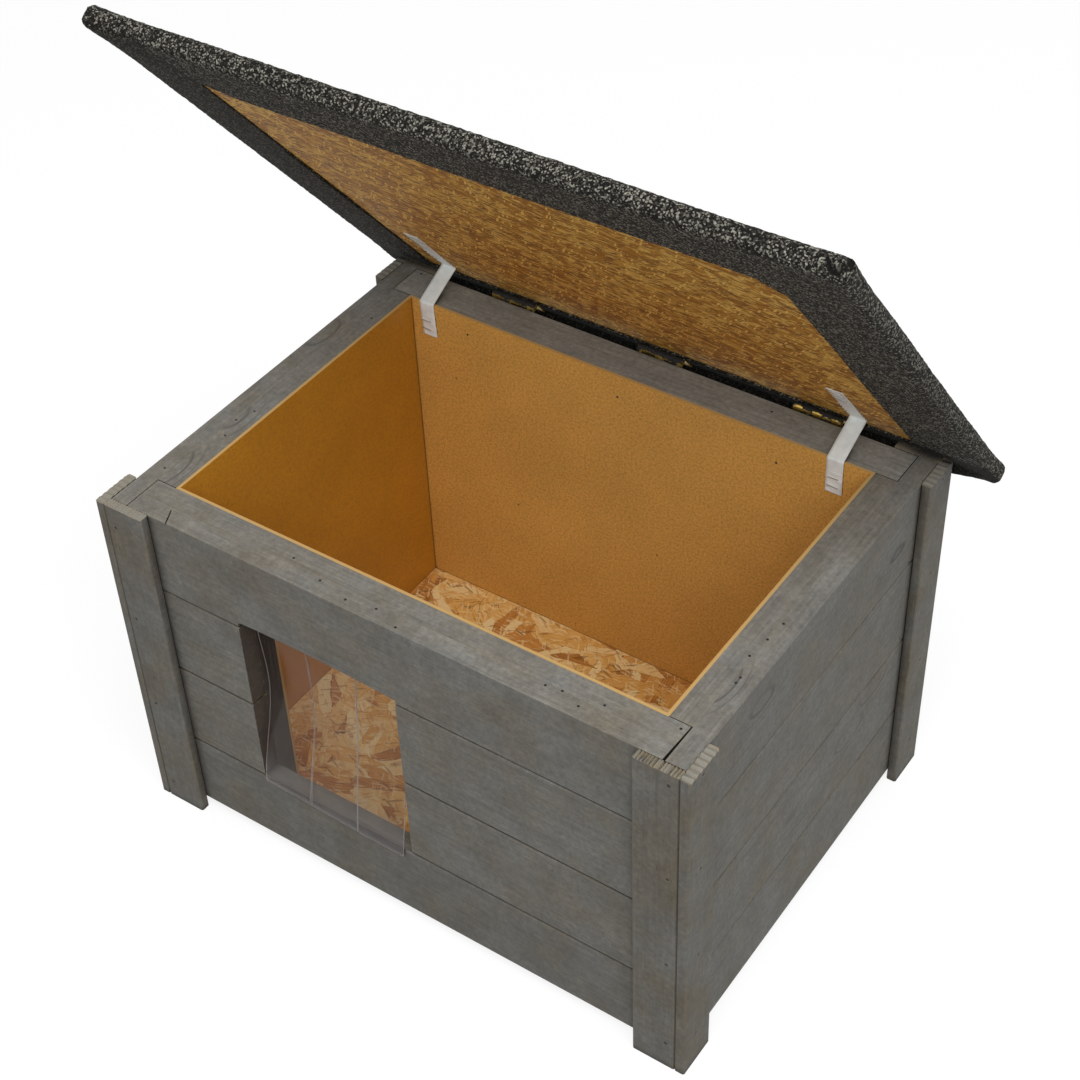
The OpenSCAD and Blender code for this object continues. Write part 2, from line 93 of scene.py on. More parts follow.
def angle(name, description, degrees):
    return bpy.props.FloatProperty(
        name=name, description=description, subtype="ANGLE", unit="ROTATION", default=math.radians(degrees)
    )


def factor(name, description, part):
    return bpy.props.FloatProperty(name=name, description=description, subtype="FACTOR", default=part)


def spot(name, description, place):
    return bpy.props.FloatVectorProperty(
        name=name, description=description, subtype="XYZ", unit="LENGTH", default=place
    )


class KennelColours(bpy.types.PropertyGroup):
    """Colours of the kennel's finishes"""

    paint: colour("Paint", "Grey wood paint", "#787772")
    paint_thin: colour("Thin paint", "Paint where the wood shows through", "#726a5b")
    paint_grain: colour("Grain", "Growth lines under the paint", "#3f3c36")
    end_grain: colour("End grain", "Paint soaked into sawn ends", "#35271d")
    # Real grime, and painted shade in the joints, in corners and under the door's header
    dirt_and_shade: colour("Dirt", "Dirt in the joints", "#1b1611")
    bare_wood: colour("Bare wood", "Wood where the paint is rubbed off", "#94825f")
    sawn_wood: colour("Sawn wood", "Top ends of the battens, greyed by weather", "#a39d8f")
    pine: colour("Pine", "Unpainted frame timber", "#c9a877")
    hardboard: colour("Hardboard", "Face of the front and back linings", "#e6b15b")
    # A darker, browner copy of the lining's face: painted shade on the side linings, which are of the same
    # hardboard
    hardboard_side_shade: colour("Side hardboard", "Face of the side linings, from a browner sheet", "#c58b24")
    hardboard_fibre: colour("Hardboard fibre", "Darker fibres of the lining", "#9c6a2c")
    hardboard_edge: colour("Hardboard edge", "Sawn edge of the lining", "#c9a365")
    strand: colour("Strand", "Strands of the floor board", "#edbd68")
    strand_pale: colour("Pale strand", "Palest strands of the floor board", "#fdebb4")
    strand_deep: colour("Deep strand", "Darkest strands of the floor board", "#cc8d42")
    # Also painted shade: shadow lines at strand edges, and the corners where the linings meet
    strand_gap_and_shade: colour("Strand gap", "Gaps between strands", "#5a3413")
    lid_strand: colour("Lid strand", "Strands of the lid board", "#b47b1d")
    lid_strand_pale: colour("Pale lid strand", "Palest strands of the lid board", "#f0c668")
    lid_strand_deep: colour("Deep lid strand", "Darkest strands of the lid board", "#8e5915")
    felt: colour("Felt", "Darkest slate granules of the felt", "#141310")
    granule: colour("Granule", "Middling slate granules of the felt", "#403e38")
    granule_pale: colour("Pale granule", "Palest slate granules of the felt", "#9d9a8f")
    # Near-black painted shade under the lid by the hinges, along the crease, in the pocket and on the
    # hinges' upper faces; it also darkens the felt on the left
    bitumen: colour("Bitumen", "Bare bitumen at folds and by the hinges", "#0d0c0a")
    strap: colour("Strap", "Plastic of the stop straps", "#f3f8f6")
    strip: colour("Strip", "Tint of the door strips' clear plastic", "#4d4443")
    strip_edge: colour("Strip edge", "Cut edges and scuffed feet of the door strips", "#bcb6b5")
    brass: colour("Brass", "Hinges and their screws, browned by age", "#d0b05c")
    steel: colour("Steel", "Staples of the straps", "#b9b9b6")
    nail: colour("Nail", "Nail heads under the paint", "#1d1b18")
    foam: colour("Foam", "Foam boards in the walls", "#f1f1ee")
    floor: colour("Floor", "Studio floor", "#ffffff")


class KennelSizes(bpy.types.PropertyGroup):
    """Sizes of what the finishes add to the frame"""

    open_angle: angle("Open angle", "Opening of the lid where its straps are taut", 50.7)
    felt_mesh: length("Felt mesh", "Spacing of the felt's vertices", 3)
    felt_edge: length("Felt edge", "Outer radius of the felt along the lid's edges", 6)
    felt_corner: length("Felt corner", "Radius of the lid's corners seen from above", 9)
    felt_lump: length("Felt lump", "Height of the lumps that the granules make", 0.5)
    felt_belly: length("Felt belly", "Sag of the loose felt under the lid's back edge", 8.5)
    window_back: length("Window back", "Reach of the bare board behind the hinge pins", 3.9)
    felt_wave: length("Felt wave", "Waviness of the hand-cut edge of the felt", 1.6)
    return_side: length("Side return", "Felt turned under the lid's sides", 71)
    return_front: length("Front return", "Felt turned under the lid's front", 76)
    return_fold: length("Fold", "Cut of the felt across the bare board's right front corner", 22)
    ring_spacing: length("Ring spacing", "Distance between growth lines on a plank", 9)
    strand_length: length("Strand length", "Length of a strand in the boards", 85)
    strand_width: length("Strand width", "Width of a strand in the boards", 19)
    granule: length("Granule", "Size of a slate granule, drawn coarser than real so that it shows", 1.3)
    door_rise: length("Door rise", "Rise of the doorway's sawn top edge over its corners", 7)
    strap_thickness: length("Strap thickness", "Thickness of a stop strap", 0.8)
    strip_thickness: length("Strip thickness", "Thickness of a door strip", 1)


class KennelStage(bpy.types.PropertyGroup):
    """Camera and light"""

    lens: bpy.props.FloatProperty(
        name="Lens", description="Focal length on a square sensor", unit="CAMERA", default=68.53
    )
    sensor: bpy.props.FloatProperty(
        name="Sensor", description="Side of the square sensor", unit="CAMERA", default=36
    )
    distance: length("Distance", "Distance of the camera from the point that it looks at", 1910)
    azimuth: angle("Azimuth", "Turn of the camera round the kennel, from the front to the right", 36.03)
    elevation: angle("Elevation", "Height of the camera over the horizon", 42.04)
    roll: angle("Roll", "Turn of the camera about its own axis", -2.56)
    target: spot("Target", "Point that the camera looks at", (-0.0022, 0.0031, 0.3))
    key: bpy.props.FloatProperty(name="Key", description="Power of the softbox", unit="POWER", default=84)
    softbox: length("Softbox", "Side of the softbox", 3000)
    lamp: spot("Lamp", "Place of the softbox", (1.2, -1.35, 2.95))
    ambient: factor("Ambient", "Strength of the even light all round", 0.45)
    bounce: factor("Bounce", "Share of the light that the floor throws back", 0.3)
    shadow: factor("Shadow", "Part of the floor's white that a shadow can take away", 0.25)
    glow: factor("Glow", "Part of the floor's white that is there in any light", 0.81)
    floor_size: length("Floor size", "Half the side of the floor", 40000)


def settings():
    """The kennel's colours and sizes."""
    return bpy.context.scene.kennel_colours, bpy.context.scene.kennel_sizes


def feed(node, inputs):
    """Gives inputs of a node their values. A value that is a socket of another node is linked."""
    for name, value in inputs.items():
        if isinstance(value, bpy.types.NodeSocket):
            node.id_data.links.new(value, node.inputs[name])
        else:
            node.inputs[name].default_value = value


def add_node(tree, kind, *values, stops=(), **words):
    """Adds a node and gives its outputs. The values go to the inputs in use, in their order. A word with a
    capital letter is an input by its name, and any other a setting."""
    node = tree.nodes.new("ShaderNode" + kind)
    for word, value in words.items():
        if word.islower():
            setattr(node, word, value)
    in_use = [index for index, socket in enumerate(node.inputs) if socket.enabled]
    feed(node, dict(zip(in_use, values)))
    feed(node, {word: value for word, value in words.items() if not word.islower()})
    for index, (place, stop) in enumerate(stops):
        elements = node.color_ramp.elements
        element = elements[index] if index < 2 else elements.new(place)
        element.position, element.color = place, stop
    return node.outputs


def start_material(name):
    """A new material, what adds a node to it, its shader, and the place of each point in the frame."""
    material = bpy.data.materials.new(name)
    material.use_nodes = True
    tree = material.node_tree
    add = partial(add_node, tree)
    return material, add, tree.nodes["Principled BSDF"], add("TexCoord")["Object"]


def per_mm(size):
    """The scale of a pattern whose features have this real size in millimetres."""
    return 1000 / size


def specks(add, vector, spacing, rare, largest):
    """Dots some millimetres apart, each of its own size, and the rarer the more of them are left out."""
    cell = add("TexVoronoi", Vector=vector, Scale=per_mm(spacing))
    size = add("MapRange", add("SeparateColor", cell["Color"])[0], rare, 1, 0, largest)[0]
    return add("Math", cell["Distance"], size, operation="LESS_THAN")[0]


# By the way the grain runs: the turn of its pattern, how rare knots are, and how dark end grain dries
GRAIN = {
    "x": ((0, 0, 0), 0.9, 0.8),
    "y": ((0, 0, math.radians(-90)), 0.56, 0.2),
    "z": ((0, math.radians(90), 0), 1, 0),
}


def painted_pine(name, along, wear, coat, header_shade=False):
    """Sawn pine under one coat of matt grey wood paint: the brush leaves faint streaks and the pores a fine
    mottle, growth lines show round the knots, grime sits in torn grain and as specks in the pores, painted
    shade darkens the joints and corners, what faces up is painted lighter as a painted light from above, and
    bare wood shows on rubbed edges and sawn tops. The coat is the share of the paint's lightness, which
    differs between groups of boards; the lighter coat under the lid is a painted light. A piece with header
    shade darkens towards its top, from the height of the sill to that of the header: a painted shade under
    the header."""
    colours, sizes = settings()
    material, add, shader, place = start_material(name)
    turn, rare, soak = GRAIN[along]
    # Each board has its own stretch of the pattern, and everything in wood is drawn out along the grain.
    board = add("ObjectInfo")["Random"]
    own = add("VectorMath", board, (7, 11, 13), place, operation="MULTIPLY_ADD")[0]
    turned = add("Mapping", Vector=own, Rotation=turn)[0]
    grain, fine, cells = (
        add("VectorMath", turned, (drawn, 1, 1), operation="MULTIPLY")[0] for drawn in (0.16, 0.04, 0.42)
    )
    sway, patch, hue, streak, pores, cloud, torn, chips = (
        add("TexNoise", Vector=vector, Scale=per_mm(size), Detail=detail, Roughness=rough)["Fac"]
        for vector, size, detail, rough in (
            (grain, 55, 2, 0.5), (grain, 30, 3, 0.5), (own, 70, 6, 0.6), (fine, 2.2, 3, 0.5),
            (own, 5, 4, 0.7), (own, 32, 5, 0.5), (grain, 2.2, 4, 0.75), (grain, 7, 4, 0.5),
        )
    )
    # Knots lie far apart, and the growth lines part round them. The battens are clear of them.
    knot = add("TexVoronoi", Vector=cells, Scale=per_mm(52))
    near = add("MapRange", knot["Distance"], 0.05, 0.42, 1, 0, interpolation_type="SMOOTHSTEP")[0]
    there = add("Math", add("SeparateColor", knot["Color"])[0], rare, operation="GREATER_THAN")[0]
    swell = add("Math", near, there, operation="MULTIPLY")[0]
    across = add("SeparateXYZ", turned)
    depth = add("Math", across[1], across[2])[0]
    rings = add("Math", depth, 1 / sizes.ring_spacing, operation="MULTIPLY")[0]
    for push, reach in ((sway, 5), (swell, 3.2)):
        rings = add("Math", push, reach, rings, operation="MULTIPLY_ADD")[0]
    ring = add("Math", rings, 1, operation="PINGPONG")[0]
    line = add("MapRange", ring, 0, 0.42, 1, 0, interpolation_type="SMOOTHSTEP")[0]
    seen = add("MapRange", patch, 0.5, 0.75, 0.03, 0.4)[0]
    seen = add("Math", swell, 0.95, seen, operation="MULTIPLY_ADD")[0]
    broken = add("MapRange", pores, 0.35, 0.6, 0.35, 1)[0]
    line = add("Math", line, add("Math", seen, broken, operation="MULTIPLY")[0], operation="MULTIPLY")[0]
    # End grain drinks more paint and dries darker.
    normal = add("NewGeometry")["True Normal"]
    faces = add("SeparateXYZ", normal)
    ends = add("Math", faces["xyz".index(along)], operation="ABSOLUTE")[0]
    layers = [
        (add("MapRange", hue, 0.38, 0.66, 0, wear)[0], colours.paint_thin), (line, colours.paint_grain),
        (add("MapRange", ends, 0.6, 0.9, 0, soak)[0], colours.end_grain),
    ]
    # Painted shade under the header: the piece darkens towards its top
    if header_shade:
        low, high = (corner.z + 40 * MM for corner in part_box("strip_left"))
        height = add("Math", streak, 0.16, add("SeparateXYZ", place)[2], operation="MULTIPLY_ADD")[0]
        layers.append((add("MapRange", height, low, high, 0.15, 0.96)[0], colours.dirt_and_shade))
    tone = colours.paint
    for share, over in layers:
        tone = add("Mix", share, tone, over, data_type="RGBA")[2]
    # Streaks, pores and clouds vary the paint's lightness, and what faces up is painted lighter: a painted
    # light from above.
    shade = 1
    usual = (0.28, 0.72)
    for what, spread, low, high in (
        (streak, usual, 0.82, 1.18), (pores, usual, 0.74, 1.26), (cloud, usual, 0.85 * coat, 1.15 * coat),
        # Painted light: faces that look up are made up to 1.3 times lighter
        (faces[2], (0.5, 0.9), 1, 1.3),
    ):
        shade = add("Math", add("MapRange", what, *spread, low, high)[0], shade, operation="MULTIPLY")[0]
    tone = add("VectorMath", tone, shade, operation="SCALE")[0]
    layers = [(add("MapRange", ends, 0.4, 0.8, 0, 0.5)[0], colours.sawn_wood)] if along == "z" else []
    # Painted shade in the joints and corners, from ambient occlusion, and grime in torn grain and as specks
    # in the pores
    open_sky = add("AmbientOcclusion", Distance=11 * MM, samples=6)["AO"]
    dirt_and_shade = add("MapRange", open_sky, 0.4, 0.9, 1, 0)[0]
    torn = add("MapRange", torn, 0.58, 0.68, 0, 0.8)[0]
    where = add("MapRange", hue, 0.56, 0.68, 0, 1)[0]
    for what, share in ((torn, where), (specks(add, own, 19, 0.6, 0.055), 0.6)):
        dirt_and_shade = add("Math", what, share, dirt_and_shade, operation="MULTIPLY_ADD", use_clamp=True)[0]
    # Rubbed edges: where the rounded normal departs from the true one
    soft = add("Bevel", Radius=2.4 * MM, samples=6)[0]
    edge = add("VectorMath", soft, normal, operation="DOT_PRODUCT")["Value"]
    edge = add("MapRange", edge, 0.985, 0.8, 0, 1)[0]
    chips = add("MapRange", chips, 0.6 - 0.2 * wear, 0.68, 0, wear)[0]
    rubbed = add("Math", edge, chips, operation="MULTIPLY")[0]
    for share, over in (*layers, (dirt_and_shade, colours.dirt_and_shade), (rubbed, colours.bare_wood)):
        tone = add("Mix", share, tone, over, data_type="RGBA")[2]
    height = streak
    for what, rise in ((line, -0.7), (pores, 0.8)):
        height = add("Math", what, rise, height, operation="MULTIPLY_ADD")[0]
    feed(shader, {
        "Base Color": tone, "Roughness": add("MapRange", streak, 0.2, 0.8, 0.68, 0.9)[0],
        "Normal": add("Bump", Strength=0.4, Distance=0.4 * MM, Height=height)[0],
    })
    return material


def bare_pine():
    """Planed pine left bare inside the walls: pale, with soft growth lines."""
    colours = settings()[0]
    material, add, shader, place = start_material("planed_pine")
    drawn = add("VectorMath", place, (0.2, 1, 1), operation="MULTIPLY")[0]
    lines = add("TexWave", Vector=drawn, Scale=per_mm(16), Distortion=4, Detail=2)["Fac"]
    feed(shader, {
        "Base Color": add("Mix", lines, colours.pine, colours.bare_wood, data_type="RGBA")[2],
        "Roughness": 0.65,
        "Normal": add("Bump", Strength=0.2, Distance=0.2 * MM, Height=lines)[0],
    })
    return material


def hardboard(name, facing, face):
    """Hardboard pressed from wood fibre: a smooth, slightly shiny face with dark fibres, and pale edges."""
    colours = settings()[0]
    material, add, shader, place = start_material(name)
    fleck = add("TexNoise", Vector=place, Scale=per_mm(2.5), Detail=5, Roughness=0.75)["Fac"]
    cloud = add("TexNoise", Vector=place, Scale=per_mm(70), Detail=3)["Fac"]
    dark = add("MapRange", fleck, 0.42, 0.78, 0, 1)[0]
    tone = add("Mix", dark, face, colours.hardboard_fibre, data_type="RGBA")[2]
    tone = add("VectorMath", tone, add("MapRange", cloud, 0.3, 0.7, 0.93, 1.06)[0], operation="SCALE")[0]
    normal = add("SeparateXYZ", add("NewGeometry")["True Normal"])[facing]
    sawn = add("Math", add("Math", normal, operation="ABSOLUTE")[0], 0.5, operation="LESS_THAN")[0]
    # Painted shade: where the linings meet, ambient occlusion darkens the corners.
    open_sky = add("AmbientOcclusion", Distance=4 * MM, samples=8)["AO"]
    gap = add("MapRange", open_sky, 0.5, 0.75, 0.85, 0)[0]
    for share, over in (
        (specks(add, place, 34, 0.55, 0.035), colours.strand_gap_and_shade), (sawn, colours.hardboard_edge),
        (gap, colours.strand_gap_and_shade),
    ):
        tone = add("Mix", share, tone, over, data_type="RGBA")[2]
    feed(shader, {
        "Base Color": tone, "Roughness": add("MapRange", sawn, 0, 1, 0.48, 0.85)[0],
        "Normal": add("Bump", Strength=0.15, Distance=0.2 * MM, Height=fleck)[0],
    })
    return material


def laid_flat(add, place, tilt, turn, shift, size):
    """Coordinates in strands of a length and width, on a tilted board, turned in degrees and shifted."""
    turned = add("Mapping", Vector=place, Location=(*shift, 0), Rotation=(tilt, 0, math.radians(turn)))[0]
    return add("VectorMath", turned, (1 / size[0], 1 / size[1], 0), operation="MULTIPLY")[0]


def strand_board(name, tones, strand, chip, tilt, contrast, layers):
    """Oriented strand board: long wood strands pressed flat over each other, each of its own tone and
    streaked along its fibres, with a painted shadow line at some of their edges and a pale painted highlight
    at others, pale and dark chips and specks of bark.
    The contrast is that of strands, fibres and chips. A layer holds its angle on the board, the share of it
    that lies over the layer below, and its size."""
    colours = settings()[0]
    material, add, shader, place = start_material(name)
    wood, pale, deep = tones
    between, fibre, chipped = contrast
    gap = colours.strand_gap_and_shade
    tone, relief = None, None
    for index, (turn, share, size) in enumerate(layers):
        shift = (0.37 * index, 0.53 * index)
        laid = laid_flat(add, place, tilt, turn, shift, (size * strand[0], size * strand[1]))
        bent = add("TexNoise", Vector=laid, Scale=1.7, Detail=3)["Color"]
        laid = add("VectorMath", bent, (0.5, 0.5, 0), laid, operation="MULTIPLY_ADD")[0]
        cell = add("TexVoronoi", Vector=laid, Scale=1, voronoi_dimensions="2D")
        edge = add("TexVoronoi", Vector=laid, Scale=1, voronoi_dimensions="2D", feature="DISTANCE_TO_EDGE")
        pick = add("SeparateColor", cell["Color"])
        thread = add("Mapping", Vector=laid, Scale=(1.1, 8, 1))[0]
        streak = add("TexNoise", Vector=thread, Scale=1, Detail=5, Roughness=0.7)["Fac"]
        mixed = 0.52 - between / 2 - fibre / 2
        for what, reach in ((pick[0], between), (streak, fibre)):
            mixed = add("Math", what, reach, mixed, operation="MULTIPLY_ADD")[0]
        ramp = add("ValToRGB", mixed, stops=((0.08, gap), (0.86, pale), (0.26, deep), (0.52, wood)))[0]
        # Painted shadow lines and highlights at the strands' edges: dark on some strands, pale on others
        rim = add("MapRange", edge["Distance"], 0, 0.05, 0.8, 0)[0]
        rim = add("Math", rim, pick[2], operation="MULTIPLY")[0]
        lit = add("Math", pick[0], 0.6, operation="GREATER_THAN")[0]
        rim_shadow_and_highlight = add("Mix", lit, gap, pale, data_type="RGBA")[2]
        laid_tone = add("Mix", rim, ramp, rim_shadow_and_highlight, data_type="RGBA")[2]
        if tone is None:
            tone, relief = laid_tone, streak
            continue
        over = add("Math", pick[1], 1 - share, operation="GREATER_THAN")[0]
        tone = add("Mix", over, tone, laid_tone, data_type="RGBA")[2]
        relief = add("Mix", over, relief, add("Math", streak, 0.5)[0], data_type="FLOAT")[0]
    chips = (
        (6, pale, 0.45), (-50, deep, 0.4), (-24, pale, 0.4), (38, deep, 0.35), (62, pale, 0.3),
        (18, gap, 0.15 * chipped), (-38, gap, 0.15 * chipped),
    )
    for index, (turn, chip_tone, share) in enumerate(chips):
        laid = laid_flat(add, place, tilt, turn, (0.71 * index, 0.19 * index), chip)
        cell = add("TexVoronoi", Vector=laid, Scale=1, voronoi_dimensions="2D")
        size = add("MapRange", add("SeparateColor", cell["Color"])[0], 1 - share, 1, 0, 0.55)[0]
        there = add("Math", size, cell["Distance"], operation="SUBTRACT")[0]
        there = add("MapRange", there, 0, 0.1, 0, chipped)[0]
        tone = add("Mix", there, tone, chip_tone, data_type="RGBA")[2]
    bark = add("TexNoise", Vector=place, Scale=per_mm(6), Detail=3, Roughness=0.6)["Fac"]
    bark = add("MapRange", bark, 0.68, 0.74, 0, 0.9)[0]
    feed(shader, {
        "Base Color": add("Mix", bark, tone, gap, data_type="RGBA")[2], "Roughness": 0.72,
        "Normal": add("Bump", Strength=0.4, Distance=0.4 * MM, Height=relief)[0],
    })
    return material


def slate_felt():
    """Bitumen felt strewn with crushed slate: dark, matt and coarse, each granule of its own grey."""
    colours, sizes = settings()
    material, add, shader, place = start_material("slate_felt")
    grain = add("TexVoronoi", Vector=place, Scale=1 / sizes.granule)
    tone = add("ValToRGB", add("SeparateColor", grain["Color"])[0], stops=(
        (0.45, colours.felt), (1, colours.granule_pale), (0.72, colours.granule),
    ))[0]
    # The attribute paints near-black shade by the hinges, along the crease and in the pocket, and darkens
    # the felt on the left
    bitumen = add("Attribute", attribute_name="bitumen")["Fac"]
    # Little of the gloss leaves the pits between the granules.
    feed(shader, {
        "Base Color": add("Mix", bitumen, tone, colours.bitumen, data_type="RGBA")[2],
        "Roughness": 0.95, "Specular IOR Level": 0.2,
        "Normal": add("Bump", Strength=0.35, Distance=0.6 * MM, Height=grain["Distance"], invert=True)[0],
    })
    return material


def clear_pvc():
    """Soft clear PVC cut from a roll: see-through with a smoky tint, milky where it is cut or scuffed."""
    colours = settings()[0]
    material, add, shader, place = start_material("soft_clear_pvc")
    cut = add("Attribute", attribute_name="cut_edge")["Fac"]
    haze = add("TexNoise", Vector=place, Scale=per_mm(25), Detail=2)["Fac"]
    haze = add("MapRange", haze, 0.3, 0.7, 0.15, 0.2)[0]
    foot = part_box("strip_left")[0].z
    height = add("SeparateXYZ", place)[2]
    scuffed = add("MapRange", height, foot + 15 * MM, foot + 45 * MM, 0.5, 0)[0]
    milky = add("Math", scuffed, cut, operation="MAXIMUM")[0]
    feed(shader, {
        "Base Color": add("Mix", milky, colours.strip, colours.strip_edge, data_type="RGBA")[2],
        "Alpha": add("Math", cut, 0.35, haze, operation="MULTIPLY_ADD")[0],
        "Roughness": add("MapRange", haze, 0.15, 0.2, 0.08, 0.2)[0], "IOR": 1.53,
    })
    return material


def rolled_plastic():
    """White polypropylene strapping: rolled, so faint ribs run along it, and slightly glossy."""
    material, add, shader, place = start_material("rolled_polypropylene")
    white = tuple(settings()[0].strap)[:3]
    ribs = add("TexWave", Vector=place, Scale=per_mm(2.4) / 6.28, Distortion=0.3)["Fac"]
    scuff = add("TexNoise", Vector=place, Scale=per_mm(9), Detail=4)["Fac"]
    shade = add("MapRange", scuff, 0.3, 0.7, 0.9, 1.05)[0]
    feed(shader, {
        "Base Color": add("VectorMath", white, shade, operation="SCALE")[0],
        "Roughness": add("MapRange", scuff, 0.3, 0.7, 0.3, 0.5)[0],
        "Normal": add("Bump", Strength=0.2, Distance=0.1 * MM, Height=ribs)[0],
        "Subsurface Weight": 0.1, "Subsurface Radius": (2 * MM, 2 * MM, 2 * MM),
    })
    return material


def metal(name, base, rough, scratch_mm, metallic=1):
    """Drawn or pressed metal: fine scratches break up the gloss."""
    material, add, shader, place = start_material(name)
    drawn = add("VectorMath", place, (0.1, 1, 1), operation="MULTIPLY")[0]
    lines = add("TexNoise", Vector=drawn, Scale=per_mm(scratch_mm), Detail=3)["Fac"]
    shade = add("MapRange", lines, 0.3, 0.7, 0.85, 1.1)[0]
    feed(shader, {
        "Base Color": add("VectorMath", tuple(base)[:3], shade, operation="SCALE")[0], "Metallic": metallic,
        "Roughness": add("MapRange", lines, 0.3, 0.7, rough * 0.7, rough * 1.4)[0],
    })
    return material


def painted_steel():
    """Nail heads under the wood paint: dark and matt, with fine scratches from the hammer."""
    return metal("painted_steel", settings()[0].nail, 0.6, 1.5, metallic=0)


def smeared_brass(name, shade_share):
    """Pressed brass browned by age, with painted shade: what faces up is blotched near black, so it shines
    only low on the knuckles, and less so the larger its share of painted shade."""
    colours = settings()[0]
    material = metal(name, colours.brass, 0.3, 1.2)
    add = partial(add_node, material.node_tree)
    shader = material.node_tree.nodes["Principled BSDF"]
    bright, dull = (shader.inputs[word].links[0].from_socket for word in ("Base Color", "Roughness"))
    upward = add("SeparateXYZ", add("NewGeometry")["True Normal"])[2]
    blot = add("TexNoise", Vector=add("TexCoord")["Object"], Scale=per_mm(8), Detail=3)["Fac"]
    top_shade = add("Math", blot, 2.4, upward, operation="MULTIPLY_ADD")[0]
    top_shade = add("MapRange", top_shade, 1.7 - shade_share, 1.95 - shade_share, 0, 1)[0]
    feed(shader, {
        "Base Color": add("Mix", top_shade, bright, colours.bitumen, data_type="RGBA")[2],
        "Roughness": add("Mix", top_shade, dull, 0.8, data_type="FLOAT")[0],
        "Metallic": add("Math", 1, top_shade, operation="SUBTRACT")[0],
    })
    return material


def bead_foam():
    """Expanded polystyrene board: white beads pressed into each other."""
    white = tuple(settings()[0].foam)[:3]
    material, add, shader, place = start_material("expanded_polystyrene")
    bead = add("TexVoronoi", Vector=place, Scale=per_mm(4))["Distance"]
    shade = add("MapRange", bead, 0, 0.8, 1, 0.85)[0]
    feed(shader, {
        "Base Color": add("VectorMath", white, shade, operation="SCALE")[0], "Roughness": 0.8,
        "Normal": add("Bump", Strength=0.4, Distance=0.5 * MM, Height=bead, invert=True)[0],
    })
    return material


def in_view(add):
    """One for what the camera sees, also in a reflection or through a clear piece, and nought elsewhere."""
    light = add("LightPath")
    seen = add("Math", light["Is Camera Ray"], light["Is Glossy Ray"], operation="MAXIMUM")[0]
    return add("Math", seen, light["Is Transmission Ray"], operation="MAXIMUM")[0]


def finish_nodes(material, names):
    """Gives CAD nodes their finish."""
    for name in names:
        node = frame["nodes"][name]
        node.data.materials.clear()
        node.data.materials.append(material)


def named(word):
    """The CAD nodes whose names hold a word."""
    found = [name for name in frame["nodes"] if word in name]
    if not found:
        raise RuntimeError(f"no node is named {word}")
    return found


def new_piece(name, mesh_builder, material, smooth=True):
    """An object from a bmesh, with its material."""
    mesh = bpy.data.meshes.new(name)
    bmesh.ops.recalc_face_normals(mesh_builder, faces=mesh_builder.faces)
    mesh_builder.to_mesh(mesh)
    mesh_builder.free()
    if smooth:
        mesh.shade_smooth()
    mesh.materials.append(material)
    piece = bpy.data.objects.new(name, mesh)
    bpy.context.scene.collection.objects.link(piece)
    return piece


def lid_frame():
    """From the closed lid's own frame about the hinge pins to the open lid's place."""
    hinge = next(joint for joint in frame["joints"] if joint["name"] == "lid_hinge")
    turn = Matrix.Rotation(-settings()[1].open_angle, 4, "X")
    return Matrix.Translation(hinge["pos_m"]) @ turn


def lid_box(node):
    """Lowest and highest corner of a CAD node in the closed lid's own frame."""
    back = lid_frame().inverted()
    points = [back @ v.co for v in frame["nodes"][node].data.vertices]
    return tuple(Vector(pick(p[i] for p in points) for i in range(3)) for pick in (min, max))


def places_across(low, high, edge, step):
    """Places across a sheet: three close together at each edge, and about a step apart between them."""
    close = [low + edge * i / 3 for i in range(3)]
    count = round((high - low - 2 * edge) / step)
    between = [low + edge + (high - low - 2 * edge) * i / count for i in range(count + 1)]
    return close + between + [low + high - place for place in reversed(close)]


def round_corner(x, y, low, high, radius):
    """Moves a point of a rectangle so that its corners are round. Also says which way is out there."""
    mid_x = min(max(x, low.x + radius), high.x - radius)
    mid_y = min(max(y, low.y + radius), high.y - radius)
    a, b = (x - mid_x) / radius, (y - mid_y) / radius
    out = Vector((a * math.sqrt(1 - b * b / 2), b * math.sqrt(1 - a * a / 2)))
    return Vector((mid_x, mid_y)) + radius * out, out


def close_ring(builder, inner, outer):
    """Joins two rings of vertices by a band of faces."""
    for k in range(len(inner)):
        n = (k + 1) % len(inner)
        builder.faces.new((inner[k], outer[k], outer[n], inner[n]))


def grow_ring(builder, ring, places, z):
    """Adds a ring of vertices at a height, joined to the one before it."""
    outer = [builder.verts.new((*place, z)) for place in places]
    close_ring(builder, ring, outer)
    return outer


def close_tube(builder, rings):
    """Joins rings of vertices one after the other, and closes both ends."""
    for a, b in zip(rings, rings[1:]):
        close_ring(builder, a, b)
    builder.faces.new(rings[0])
    builder.faces.new(rings[-1][::-1])


def window_edge(share_x, share_y, low, high):
    """A point on the hand-cut edge of the felt under the lid, by its shares of the width and depth."""
    sizes = settings()[1]
    x = low.x + share_x * (high.x - low.x)
    y = low.y + share_y * (high.y - low.y)
    from_x, from_y, cut = high.x - x, y - low.y, sizes.return_fold
    if from_x < cut and from_y < cut:
        over = (cut - from_x - from_y) / 2
        x, y = x - over, y + over
    # At the left front corner the cut runs out further.
    reach, out_left, out_front = 35 * MM, 2 * MM, 12 * MM
    drawn = max(0, 1 - math.hypot(x - low.x, y - low.y) / reach)
    x, y = x - out_left * drawn, y - out_front * drawn
    # The waves are some 80 to 90 mm long, with their own pattern each way.
    waves = [noise.noise(Vector((x * rate, y * rate, level))) for rate, level in ((11, 0.3), (13, 4.1))]
    return Vector((x, y)) + sizes.felt_wave * Vector(waves)


